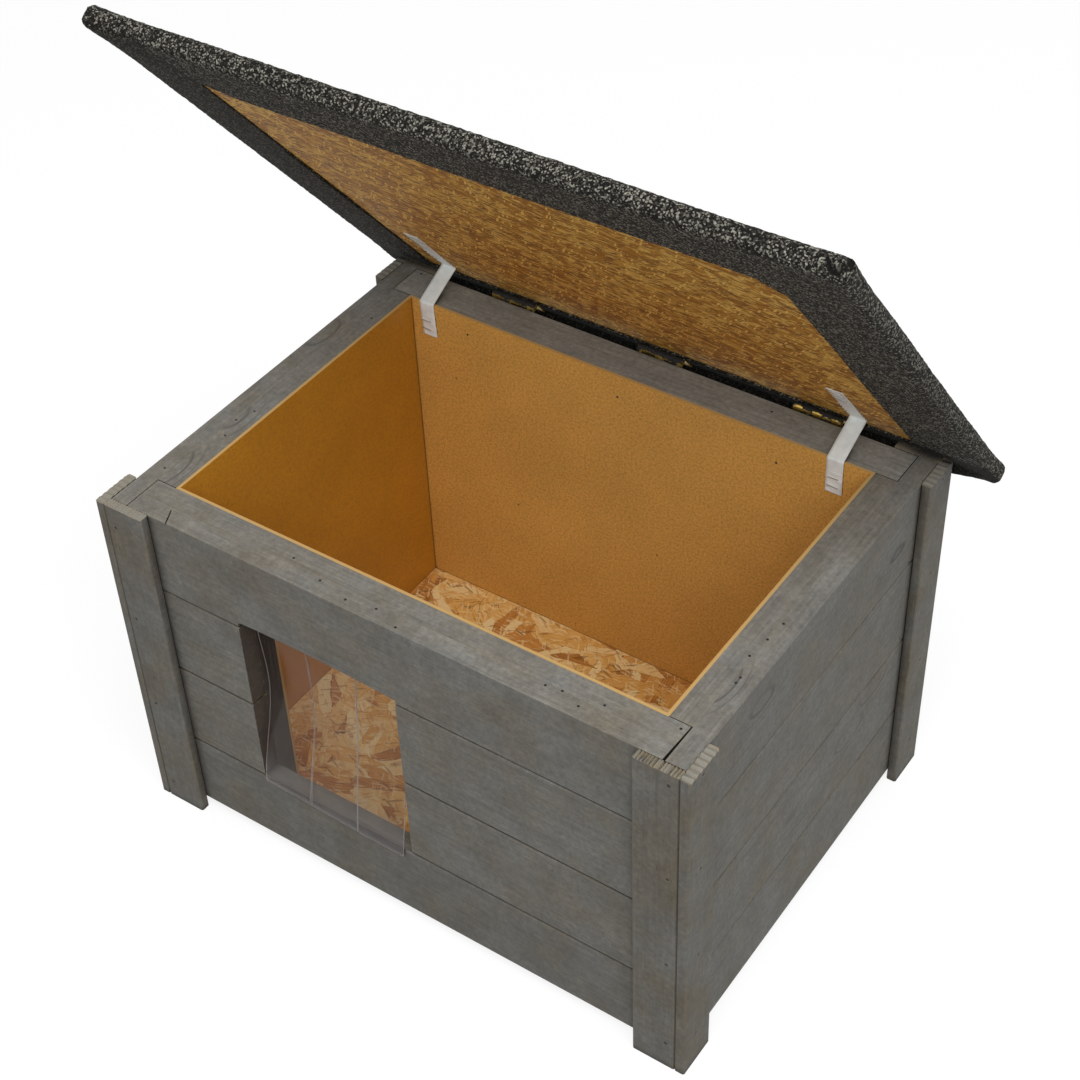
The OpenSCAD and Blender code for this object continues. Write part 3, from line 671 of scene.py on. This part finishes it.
# Pocket at the lid's front right corner, in millimetres from the right edge and over the underside: its
# crease, and its raised middle
POCKET = ((-17, 10), (-12.5, 5.3), (-8.4, 4.5), (-6, 9), (-2.8, 15), (-6, 17))
POCKET_MIDDLE, POCKET_RADIUS = Vector((-10, 12)), 5
DENT_WIDTH, DENT_DEPTH, POCKET_RISE = 4.2 * MM, 4 * MM, 1.5 * MM
# Crease on the left of the underside: its slant, the width of its painted shadow line, and the rise of the
# felt that lies under it
CREASE_SLANT, CREASE_WIDTH, CREASE_REACH, CREASE_RISE = 0.23, 4.5 * MM, 30 * MM, 1.5 * MM
# Painted shade by the hinges and darker felt on the left, the reach of a folded corner, and where the belly
# fades out
SHADE_BACK, DARK_LEFT = 0.85, 0.4
FOLD_REACH, BELLY_FADE = 75 * MM, 40 * MM


def from_pocket(x, z):
    """Distance of a point on the front edge from the pocket's crease, and whether it is in the middle."""
    here = Vector((x, z)) / MM
    gaps = []
    for a, b in zip(POCKET, POCKET[1:]):
        along = intersect_point_line(here, a, b)[1]
        gaps.append((here - Vector(a).lerp(Vector(b), min(max(along, 0), 1))).length)
    return min(gaps) * MM, (here - POCKET_MIDDLE).length < POCKET_RADIUS


def felt_piece():
    """The felt: over the lid, round its edges and back under it, with a lumpy face and a hand-cut edge."""
    sizes = settings()[1]
    draw = random.Random(11)
    low, high = lid_box("lid_felt")
    board_low, board_high = lid_box("lid_board")
    edge, corner = sizes.felt_edge, sizes.felt_corner - sizes.felt_edge
    inset = Vector((edge, edge, 0))
    flat_low, flat_high = low + inset, high - inset
    builder = bmesh.new()
    bitumen = builder.verts.layers.float.new("bitumen")
    xs = places_across(flat_low.x, flat_high.x, corner, sizes.felt_mesh)
    ys = places_across(flat_low.y, flat_high.y, corner, sizes.felt_mesh)
    last_i, last_j = len(xs) - 1, len(ys) - 1
    top = []
    for x in xs:
        column = [round_corner(x, y, flat_low, flat_high, corner)[0] for y in ys]
        top.append([builder.verts.new((*place, high.z)) for place in column])
    for i in range(last_i):
        for j in range(last_j):
            builder.faces.new((top[i][j], top[i + 1][j], top[i + 1][j + 1], top[i][j + 1]))
    rim = [(i, 0) for i in range(last_i)] + [(last_i, j) for j in range(last_j)]
    rim += [(i, last_j) for i in range(last_i, 0, -1)] + [(0, j) for j in range(last_j, 0, -1)]
    start = [round_corner(xs[i], ys[j], flat_low, flat_high, corner) for i, j in rim]
    # Round the edge: a quarter turn, the upright side, and a quarter turn to the underside.
    turns = [math.radians(90) * k / 5 for k in range(6)]
    profile = [(edge * math.sin(t), high.z - edge * (1 - math.cos(t))) for t in turns[1:]]
    middle = (low.z + high.z) / 2
    profile.append((edge, middle))
    profile += [(edge * math.cos(t), low.z + edge * (1 - math.sin(t))) for t in turns]
    ring = [top[i][j] for i, j in rim]
    for out, z in profile:
        ring = grow_ring(builder, ring, [place + out * way for place, way in start], z)
    # Back under the lid to the hand-cut edge.
    cut_low = Vector((low.x + sizes.return_side, low.y + sizes.return_front))
    cut_high = Vector((high.x - sizes.return_side, sizes.window_back))
    cut = [window_edge(i / last_i, j / last_j, cut_low, cut_high) for i, j in rim]
    rows = round(sizes.return_side / sizes.felt_mesh)
    for row in range(1, rows + 1):
        places = [place.lerp(to, row / rows) for (place, _), to in zip(start, cut)]
        ring = grow_ring(builder, ring, places, low.z)
    face_verts = list(builder.verts)
    builder.normal_update()
    # The corners are folded by hand, so they stand off the board, each its own way.
    corners = (
        ((low.x, low.y), (-9 * MM, -5 * MM)), ((high.x, low.y), (3 * MM, -3 * MM)),
        ((low.x, high.y), (-2 * MM, 1 * MM)), ((high.x, high.y), (4 * MM, 1 * MM)),
    )
    loose_low, loose_high = lid_box("hinge_middle_lid_leaf")[1].y + 2 * MM, flat_high.y
    for vert in face_verts:
        under = vert.co.z < low.z + edge / 2
        if under and loose_low < vert.co.y < loose_high:
            # Behind the hinges the felt is loose and hangs in a belly, which fades out to the lid's sides.
            hang = math.sin(math.pi * (vert.co.y - loose_low) / (loose_high - loose_low))
            near = min(vert.co.x - flat_low.x, flat_high.x - vert.co.x) / BELLY_FADE
            vert.co.z -= sizes.felt_belly * hang * min(max(near, 0), 1)
        # Painted shade: the underside behind the hinges is made near black.
        if under and vert.co.y > -2 * MM:
            vert[bitumen] = SHADE_BACK
        if under:
            # On the left the side's felt is darker, and lies under that of the front along a crease with a
            # painted shadow line.
            crease = cut_low.x + CREASE_SLANT * min(0, vert.co.y - cut_low.y)
            left = crease - vert.co.x
            if left > 0:
                vert.co.z += CREASE_RISE * max(0, 1 - left / CREASE_REACH)
                vert[bitumen] = max(vert[bitumen], DARK_LEFT)
            vert[bitumen] = max(vert[bitumen], 1 - abs(left) / CREASE_WIDTH)
        elif vert.co.y < low.y + edge:
            # The fold at the front right corner leaves a pocket in the edge; its dent gets painted shade.
            aside, inside = from_pocket(vert.co.x - high.x, vert.co.z - low.z)
            dent = max(0, 1 - aside / DENT_WIDTH)
            vert.co.y += DENT_DEPTH * dent - (POCKET_RISE if inside else 0)
            vert[bitumen] = max(vert[bitumen], min(1, 1.4 * dent))
        for place, push in corners:
            near = max(0, 1 - (vert.co.xy - Vector(place)).length / FOLD_REACH) ** 2
            vert.co += near * Vector((*push, (vert.co.z - middle) * 0.15))
        lump = draw.uniform(-1, 0) if under else draw.uniform(-0.7, 1)
        sag = noise.noise(vert.co * 9) * (0 if under else 0.8 * MM)
        vert.co += vert.normal * (lump * sizes.felt_lump + sag)
    # The cut edge, then the hidden inner face against the board.
    ring = grow_ring(builder, ring, cut, board_low.z)
    wrap = corner + edge - (board_low.x - low.x)
    board = board_high - board_low
    around = []
    for i, j in rim:
        x, y = board_low.x + i / last_i * board.x, board_low.y + j / last_j * board.y
        around.append(round_corner(x, y, board_low, board_high, wrap)[0])
    for z in (board_low.z, board_high.z):
        ring = grow_ring(builder, ring, around, z)
    builder.faces.new(list(reversed(ring)))
    builder.transform(lid_frame())
    return new_piece("roof_felt", builder, slate_felt())


def bend_path(points, radius, step):
    """A path through points, with its corners rounded to a radius and its places about a step apart."""
    path = [points[0]]
    for before, here, after in zip(points, points[1:], points[2:]):
        into, away = (here - before).normalized(), (after - here).normalized()
        turn = into.angle(away)
        reach = radius * math.tan(turn / 2)
        for k in range(5):
            t = k / 4
            first, last = here - into * reach, here + away * reach
            path.append((1 - t) ** 2 * first + 2 * t * (1 - t) * here + t**2 * last)
    path.append(points[-1])
    fine = []
    for a, b in zip(path, path[1:]):
        count = max(1, round((b - a).length / step))
        fine += [a.lerp(b, k / count) for k in range(count)]
    return fine + [path[-1]]


def sweep_band(name, path, centre_x, width, thickness, lean, material):
    """A flat band along a path in the Y-Z plane, crumpled where it is stapled. Its end leans sideways."""
    builder = bmesh.new()
    columns = 6
    rings = []
    for index, point in enumerate(path):
        before, after = path[max(index - 1, 0)], path[min(index + 1, len(path) - 1)]
        along = (after - before).normalized()
        face = Vector((along.y, -along.x))
        share = index / (len(path) - 1)
        shift = lean * (max(0, share - 0.5) / 0.5) ** 1.4
        near, far = [], []
        for c in range(columns + 1):
            across = c / columns * 2 - 1
            lift = crumple(share, across)
            for depth, side in ((0, near), (thickness, far)):
                y, z = point + face * (depth + lift)
                side.append(builder.verts.new((centre_x + shift + across * width / 2, y, z)))
        rings.append(near + far[::-1])
    close_tube(builder, rings)
    return new_piece(name, builder, material)


def crumple(share, across):
    """Ridges across a strap where it is bent and stapled: five before its bend on the lid, three at its
    foot. A row holds its stretch of the strap, how many there are, the way they slant and their height."""
    for first, last, count, slant, height in ((0.26, 0.48, 5, 1, 0.8 * MM), (0.86, 1, 3, -1, 0.4 * MM)):
        if first < share <= last:
            turn = (share - first) / (last - first) * math.tau * count
            return height * max(0, math.cos(turn + slant * across))
    return 0


def strip_piece(node, hang, thickness, material):
    """One door strip: hangs from under the header, and leans on the sill's front edge. Left and right, hang
    holds how far an edge bellies inwards, its drift sideways at the foot, and how far it ends above the CAD
    strip."""
    low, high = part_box(node)
    builder = bmesh.new()
    cut_edge = builder.verts.layers.float.new("cut_edge")
    shares = [0, 0.018] + [k / 10 for k in range(1, 10)] + [0.982, 1]
    falls = [k / 44 for k in range(44)] + [0.994, 1]
    grid = []
    for fall in falls:
        near, far = [], []
        for u in shares:
            bow, drift, lift = ((1 - u) * a + u * b for a, b in zip(*hang))
            x = low.x + (high.x - low.x) * u + drift * fall**1.5
            belly = bow * math.sin(math.pi * fall) ** 2
            y = high.y - thickness + (low.y + thickness - high.y) * fall + belly
            z = high.z + (low.z + lift - high.z) * fall
            for depth, side in ((0, near), (thickness, far)):
                vert = builder.verts.new((x, y + depth, z))
                vert[cut_edge] = 1.0 if u in (0, 1) else 0.3 if fall == 1 else 0.0
                side.append(vert)
        grid.append(near + far[::-1])
    close_tube(builder, grid)
    return new_piece(node.replace("strip", "door_strip"), builder, material)


def arched_plank(material):
    """The plank over the doorway, its lower edge sawn by hand into a shallow arch. Each place on the arch is
    a share of the doorway's width and of its rise."""
    arch = (
        (0, 0.5), (0.03, 0.74), (0.11, 0.86), (0.2, 0.93), (0.35, 0.99), (0.52, 1), (0.66, 0.92),
        (0.8, 0.8), (0.9, 0.68), (0.97, 0.56), (1, 0.5),
    )
    low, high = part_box("front_top_plank")
    left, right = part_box("front_upper_left_plank")[1].x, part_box("front_upper_right_plank")[0].x
    rise = settings()[1].door_rise
    builder = bmesh.new()
    sides = []
    # At the back the arch is cut away higher at its ends, where the strips swing under it.
    for y, least in ((low.y, 0), (high.y, 0.87)):
        outline = [(low.x, low.z), (left, low.z)]
        outline += [(left + (right - left) * t, low.z + rise * max(share, least)) for t, share in arch]
        outline += [(right, low.z), (high.x, low.z), (high.x, high.z), (low.x, high.z)]
        sides.append([builder.verts.new((x, y, z)) for x, z in outline])
    builder.faces.new(sides[0])
    builder.faces.new(sides[1][::-1])
    close_ring(builder, *sides)
    builder.normal_update()
    # Only the outer edges are eased, as on the other planks.
    outer = [e for e in builder.edges if all(v.co.y < high.y - MM for v in e.verts)]
    bmesh.ops.bevel(
        builder, geom=outer, offset=1.2 * MM, segments=2, profile=0.5, affect="EDGES", clamp_overlap=True
    )
    plank = new_piece("plank_over_door", builder, material, smooth=False)
    # A short split across its top edge
    split = []
    for x, y in ((low.x + 38 * MM, high.y - 3 * MM), (low.x + 46 * MM, low.y - MM)):
        split.append([(x - MM, y, high.z + MM), (x, y, high.z - 2 * MM), (x + MM, y, high.z + MM)])
    cut_top(plank, split, material)
    return plank


def open_joint(piece, material):
    """Opens the joint at the right end of the front's top, wider towards the corner."""
    low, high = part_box("front_top_plank")
    outlines = []
    for y, gap in ((low.y - MM, 1.9 * MM), (low.y + 52 * MM, 0.1 * MM)):
        corners = ((high.x - gap, MM), (high.x - gap, -9 * MM), (high.x + MM, -9 * MM), (high.x + MM, MM))
        outlines.append([(x, y, high.z + up) for x, up in corners])
    cut_top(piece, outlines, material)


def cut_top(piece, outlines, material):
    """Cuts a piece from above by the solid between two outlines, each a list of points in order."""
    builder = bmesh.new()
    close_tube(builder, [[builder.verts.new(point) for point in outline] for outline in outlines])
    cutter = new_piece(f"cutter_{piece.name}", builder, material, smooth=False)
    cutter.hide_render = True
    cutter.hide_viewport = True
    cut = piece.modifiers.new("cut", "BOOLEAN")
    cut.object = cutter
    cut.operation = "DIFFERENCE"
    cut.solver = "EXACT"


def saw_marks(node, count, depth, material):
    """Cuts the teeth that a coarse saw leaves across a batten's top end."""
    low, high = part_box(node)
    draw = random.Random(node)
    wide = 0 if high.x - low.x > high.y - low.y else 1
    first, last = low[wide] - MM, high[wide] + MM
    step = (last - first) / (2 * count)
    cuts, crests = (0.6, 1.2), (0.05, 0.3)
    heights = [high.z - depth * draw.uniform(*(cuts if k % 2 else crests)) for k in range(2 * count + 1)]
    outlines = []
    for end in (low[1 - wide] - MM, high[1 - wide] + MM):
        outline = [(first, high.z + MM)]
        for k, height in enumerate(heights):
            outline.append((first + step * (k + draw.uniform(-0.3, 0.3)), height))
        outline.append((last + step, high.z + MM))
        outlines.append([(place, end, z) if wide == 0 else (end, place, z) for place, z in outline])
    cut_top(frame["nodes"][node], outlines, material)


# Brads, in millimetres from the front left corner of the box: along and back on its top, along and up on
# the back lining, and back and up on the right planks
TOP_BRADS = (
    (190, 26), (227, 16), (260, 9), (289, 14), (316, 5), (458, 17), (473, 19), (493, 12), (510, 24),
    (579, 133), (585, 108), (585, 101), (574, 35), (584, 180), (582, 157), (438, 418), (32, 339), (23, 145),
    (29, 122), (29, 164), (13, 57), (28, 426),
)
LINING_BRADS = ((112, 370), (288, 365), (461, 360))
SIDE_BRADS = ((390, 303), (390, 205.5), (389, 112))


def brad_heads(material):
    """The small heads of the brads that hold the planks to the rails, and the lining to the back."""
    corner = Vector((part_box("left_top_plank")[0].x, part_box("front_top_plank")[0].y, 0))
    top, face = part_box("front_top_plank")[1].z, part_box("back_lining")[0].y
    places = [(Vector((corner.x + x * MM, corner.y + y * MM, top)), (1, 1, 0.08)) for x, y in TOP_BRADS]
    places += [(Vector((corner.x + x * MM, face, z * MM)), (1, 0.08, 1)) for x, z in LINING_BRADS]
    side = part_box("right_top_plank")[1].x
    places += [(Vector((side, corner.y + y * MM, z * MM)), (0.08, 1, 1)) for y, z in SIDE_BRADS]
    builder = bmesh.new()
    for place, flat in places:
        shape = Matrix.Translation(place) @ Matrix.Diagonal((*flat, 1))
        bmesh.ops.create_uvsphere(builder, u_segments=10, v_segments=6, radius=1.3 * MM, matrix=shape)
    return new_piece("brad_heads", builder, material)


class KENNEL_OT_planks(bpy.types.Operator):
    """Paints the planks and rails, saws the doorway's arch, and finishes the hidden frame and foam"""

    bl_idname = "kennel.planks"
    bl_label = "Planks and rails"

    def execute(self, context):
        lengthwise = painted_pine("painted_pine_lengthwise", "x", 0.7, 0.86)
        depthwise = painted_pine("painted_pine_depthwise", "y", 0.7, 0.82)
        for node in named("_plank") + named("_top_rail"):
            paint = depthwise if node.startswith(("left", "right")) else lengthwise
            finish_nodes(paint, [node])
        finish_nodes(lengthwise, ["door_header"])
        # Under the lid the back of the top is less worn, and its paint is made lighter: a painted light
        # against the lid's shade.
        under_lid_painted_light = painted_pine("painted_pine_sheltered", "x", 0.1, 1.12)
        finish_nodes(under_lid_painted_light, ["back_top_rail", "back_top_plank"])
        # The lowest row in front and behind is darker.
        low_row = painted_pine("painted_pine_splashed", "x", 0.7, 0.74)
        finish_nodes(low_row, ["front_bottom_plank", "back_bottom_plank"])
        plank = arched_plank(lengthwise)
        for piece in (plank, frame["nodes"]["front_top_rail"]):
            open_joint(piece, lengthwise)
        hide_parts("front_top_plank")
        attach(plank, "box")
        finish_nodes(bare_pine(), ["bottom_rails", "corner_posts"])
        finish_nodes(bead_foam(), ["wall_foam"])
        return {"FINISHED"}


class KENNEL_OT_battens(bpy.types.Operator):
    """Paints the corner battens, saws their top ends and sets their nails"""

    bl_idname = "kennel.battens"
    bl_label = "Corner battens"

    def execute(self, context):
        upright = painted_pine("painted_pine_upright", "z", 1.0, 0.76)
        finish_nodes(upright, named("_batten"))
        # The door posts are painted darker towards the top: a painted shade under the header.
        header_shaded = painted_pine("stained_pine_upright", "z", 0.3, 0.85, header_shade=True)
        finish_nodes(header_shaded, ["door_posts"])
        for node in named("_batten"):
            # The right front corner was sawn most coarsely.
            coarse = 2.8 if node in ("front_right_batten", "right_front_batten") else 1.0
            count, depth = (15, 0.6 * MM) if node.startswith(("front", "back")) else (7, 0.8 * MM)
            saw_marks(node, count, coarse * depth, upright)
        steel = painted_steel()
        finish_nodes(steel, ["batten_nails"])
        brads = brad_heads(steel)
        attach(brads, "box")
        return {"FINISHED"}


class KENNEL_OT_cabin(bpy.types.Operator):
    """Gives the linings and the floor board their finish"""

    bl_idname = "kennel.cabin"
    bl_label = "Linings and floor"

    def execute(self, context):
        colours, sizes = settings()
        across = hardboard("hardboard_across", 1, colours.hardboard)
        # The side linings take a darker copy of the hardboard: painted shade.
        depthwise = hardboard("hardboard_depthwise", 0, colours.hardboard_side_shade)
        finish_nodes(across, ["front_lining", "back_lining"])
        finish_nodes(depthwise, ["left_lining", "right_lining"])
        floor = strand_board(
            "strand_board_floor", (colours.strand, colours.strand_pale, colours.strand_deep),
            (0.8 * sizes.strand_length, sizes.strand_width), (18 * MM, 2.6 * MM), 0, (0.62, 0.62, 0.5),
            [(12, 1, 1), (-48, 0.5, 0.9), (38, 0.4, 1), (82, 0.35, 0.8), (-14, 0.3, 0.7)],
        )
        finish_nodes(floor, ["floor_board"])
        return {"FINISHED"}


class KENNEL_OT_lid(bpy.types.Operator):
    """Finishes the lid board and wraps it in felt"""

    bl_idname = "kennel.lid"
    bl_label = "Lid and felt"

    def execute(self, context):
        colours, sizes = settings()
        board = strand_board(
            "strand_board_lid", (colours.lid_strand, colours.lid_strand_pale, colours.lid_strand_deep),
            (0.4 * sizes.strand_length, 0.6 * sizes.strand_width), (15 * MM, 2.5 * MM), sizes.open_angle,
            (0.42, 0.62, 1),
            [(4, 1, 1), (-38, 0.45, 0.9), (34, 0.4, 1), (70, 0.35, 0.8), (-14, 0.3, 0.7)],
        )
        finish_nodes(board, ["lid_board"])
        felt = felt_piece()
        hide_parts("lid_felt")
        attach(felt, "lid")
        return {"FINISHED"}


class KENNEL_OT_hinges(bpy.types.Operator):
    """Finishes the hinges and their screws"""

    bl_idname = "kennel.hinges"
    bl_label = "Hinges"

    def execute(self, context):
        finish_nodes(smeared_brass("smeared_brass", 0.6), named("hinge_"))
        # The right box leaf gets less painted shade, so it shines more.
        finish_nodes(smeared_brass("pressed_brass", 0.1), ["hinge_right_box_leaf"])
        return {"FINISHED"}


# Stop straps: how far from the pins they end and bend on the lid, their gap to what they lie on, how far
# over the wall's top they begin to turn with the lid, and how far each foot leans to the right
STRAP_END, STRAP_BEND, STRAP_GAP, STRAP_TURN = 104 * MM, 16 * MM, 0.3 * MM, 5.2 * MM
STRAP_LEAN = {"left": 3.5 * MM, "right": 1 * MM}


class KENNEL_OT_straps(bpy.types.Operator):
    """Makes the two stop straps, which bend between the box and the lid, and finishes their staples"""

    bl_idname = "kennel.straps"
    bl_label = "Stop straps"

    def execute(self, context):
        colours, sizes = settings()
        plastic = rolled_plastic()
        wall_low, wall_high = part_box("back_lining")
        level = lid_box("lid_board")[0].z - STRAP_GAP
        lid_end, lid_bend = (lid_frame() @ Vector((0, -reach, level)) for reach in (STRAP_END, STRAP_BEND))
        wall_bend = Vector((wall_low.y - STRAP_GAP, wall_high.z + STRAP_GAP))
        for side, lean in STRAP_LEAN.items():
            node = f"strap_{side}"
            low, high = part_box(node)
            ends = [lid_end.yz, lid_bend.yz, wall_bend, Vector((wall_bend.x, low.z))]
            path = bend_path(ends, 2.5 * MM, 0.8 * MM)
            middle, width = (low.x + high.x) / 2, high.x - low.x
            strap = sweep_band(
                f"stop_strap_{side}", path, middle, width, sizes.strap_thickness, lean, plastic
            )
            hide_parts(node)
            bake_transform(strap)
        steel = metal("galvanised_wire", colours.steel, 0.35, 0.8)
        finish_nodes(steel, ["strap_wall_staples", "strap_lid_staples"])
        return {"FINISHED"}


class KENNEL_OT_strips(bpy.types.Operator):
    """Hangs the three clear strips in the doorway"""

    bl_idname = "kennel.strips"
    bl_label = "Door strips"

    def execute(self, context):
        plastic = clear_pvc()
        thickness = settings()[1].strip_thickness
        hangs = {
            "strip_left": ((13 * MM, 1 * MM, 7 * MM), (10 * MM, -1 * MM, 5 * MM)),
            "strip_middle": ((9 * MM, -1 * MM, 4.5 * MM), (1 * MM, -3 * MM, 2 * MM)),
            "strip_right": ((0.5 * MM, -4 * MM, 1.5 * MM), (0.5 * MM, -7 * MM, 0.5 * MM)),
        }
        for node, hang in hangs.items():
            strip = strip_piece(node, hang, thickness, plastic)
            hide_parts(node)
            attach(strip, node)
        return {"FINISHED"}


class KENNEL_OT_stage(bpy.types.Operator):
    """Makes the floor, the light and the camera"""

    bl_idname = "kennel.stage"
    bl_label = "Stage"

    def execute(self, context):
        stage, colours = context.scene.kennel_stage, settings()[0]
        context.scene.view_settings.view_transform = "Standard"
        builder = bmesh.new()
        bmesh.ops.create_grid(builder, x_segments=8, y_segments=8, size=stage.floor_size)
        material, add, shader, _ = start_material("matt_floor")
        # Part of the floor's white is its colour, which takes the shadow, and in view the rest is its own.
        seen = in_view(add)
        share = add("MapRange", seen, 0, 1, stage.bounce, stage.shadow)[0]
        feed(shader, {
            "Base Color": add("VectorMath", tuple(colours.floor)[:3], share, operation="SCALE")[0],
            "Emission Color": colours.floor,
            "Emission Strength": add("MapRange", seen, 0, 1, 0, stage.glow)[0],
            "Roughness": 0.9, "Specular IOR Level": 0.1,
        })
        floor = new_piece("studio_floor", builder, material)
        floor.location.z = -0.3 * MM
        world = bpy.data.worlds.new("studio")
        world.use_nodes = True
        context.scene.world = world
        add = partial(add_node, world.node_tree)
        strength = add("MapRange", in_view(add), 0, 1, stage.ambient, 1)[0]
        feed(world.node_tree.nodes["Background"], {"Color": linear("#ffffff"), "Strength": strength})
        lamp = bpy.data.lights.new("softbox", "AREA")
        lamp.energy, lamp.size = stage.key, stage.softbox
        box = bpy.data.objects.new("softbox", lamp)
        context.scene.collection.objects.link(box)
        box.location = stage.lamp
        box.rotation_euler = (Vector(stage.target) - box.location).to_track_quat("-Z", "Y").to_euler()
        data = bpy.data.cameras.new("photo_camera")
        data.lens, data.sensor_width, data.sensor_height = stage.lens, stage.sensor, stage.sensor
        camera = bpy.data.objects.new("photo_camera", data)
        context.scene.collection.objects.link(camera)
        level = math.cos(stage.elevation)
        aside, ahead = math.sin(stage.azimuth) * level, math.cos(stage.azimuth) * level
        back = Vector((aside, -ahead, math.sin(stage.elevation)))
        turn = (-back).to_track_quat("-Z", "Y").to_matrix().to_4x4() @ Matrix.Rotation(stage.roll, 4, "Z")
        camera.matrix_world = Matrix.Translation(Vector(stage.target) + stage.distance * back) @ turn
        context.scene.camera = camera
        return {"FINISHED"}


STEPS = (
    KENNEL_OT_stage, KENNEL_OT_planks, KENNEL_OT_battens, KENNEL_OT_cabin, KENNEL_OT_lid, KENNEL_OT_hinges,
    KENNEL_OT_straps, KENNEL_OT_strips,
)


class KENNEL_PT_sidebar(bpy.types.Panel):
    """Lists the kennel's steps"""

    bl_idname = "KENNEL_PT_sidebar"
    bl_label = "Kennel"
    bl_space_type = "VIEW_3D"
    bl_region_type = "UI"
    bl_category = "Kennel"

    def draw(self, context):
        for step in STEPS:
            self.layout.operator(step.bl_idname)


GROUPS = {"kennel_colours": KennelColours, "kennel_sizes": KennelSizes, "kennel_stage": KennelStage}


def register():
    for name, group in GROUPS.items():
        bpy.utils.register_class(group)
        setattr(bpy.types.Scene, name, bpy.props.PointerProperty(type=group))
    for part in (*STEPS, KENNEL_PT_sidebar):
        bpy.utils.register_class(part)


def unregister():
    for part in (KENNEL_PT_sidebar, *reversed(STEPS)):
        bpy.utils.unregister_class(part)
    for name, group in GROUPS.items():
        delattr(bpy.types.Scene, name)
        bpy.utils.unregister_class(group)


def main():
    register()
    for step in STEPS:
        family, name = step.bl_idname.split(".")
        getattr(getattr(bpy.ops, family), name)()


if __name__ == "__main__":
    main()
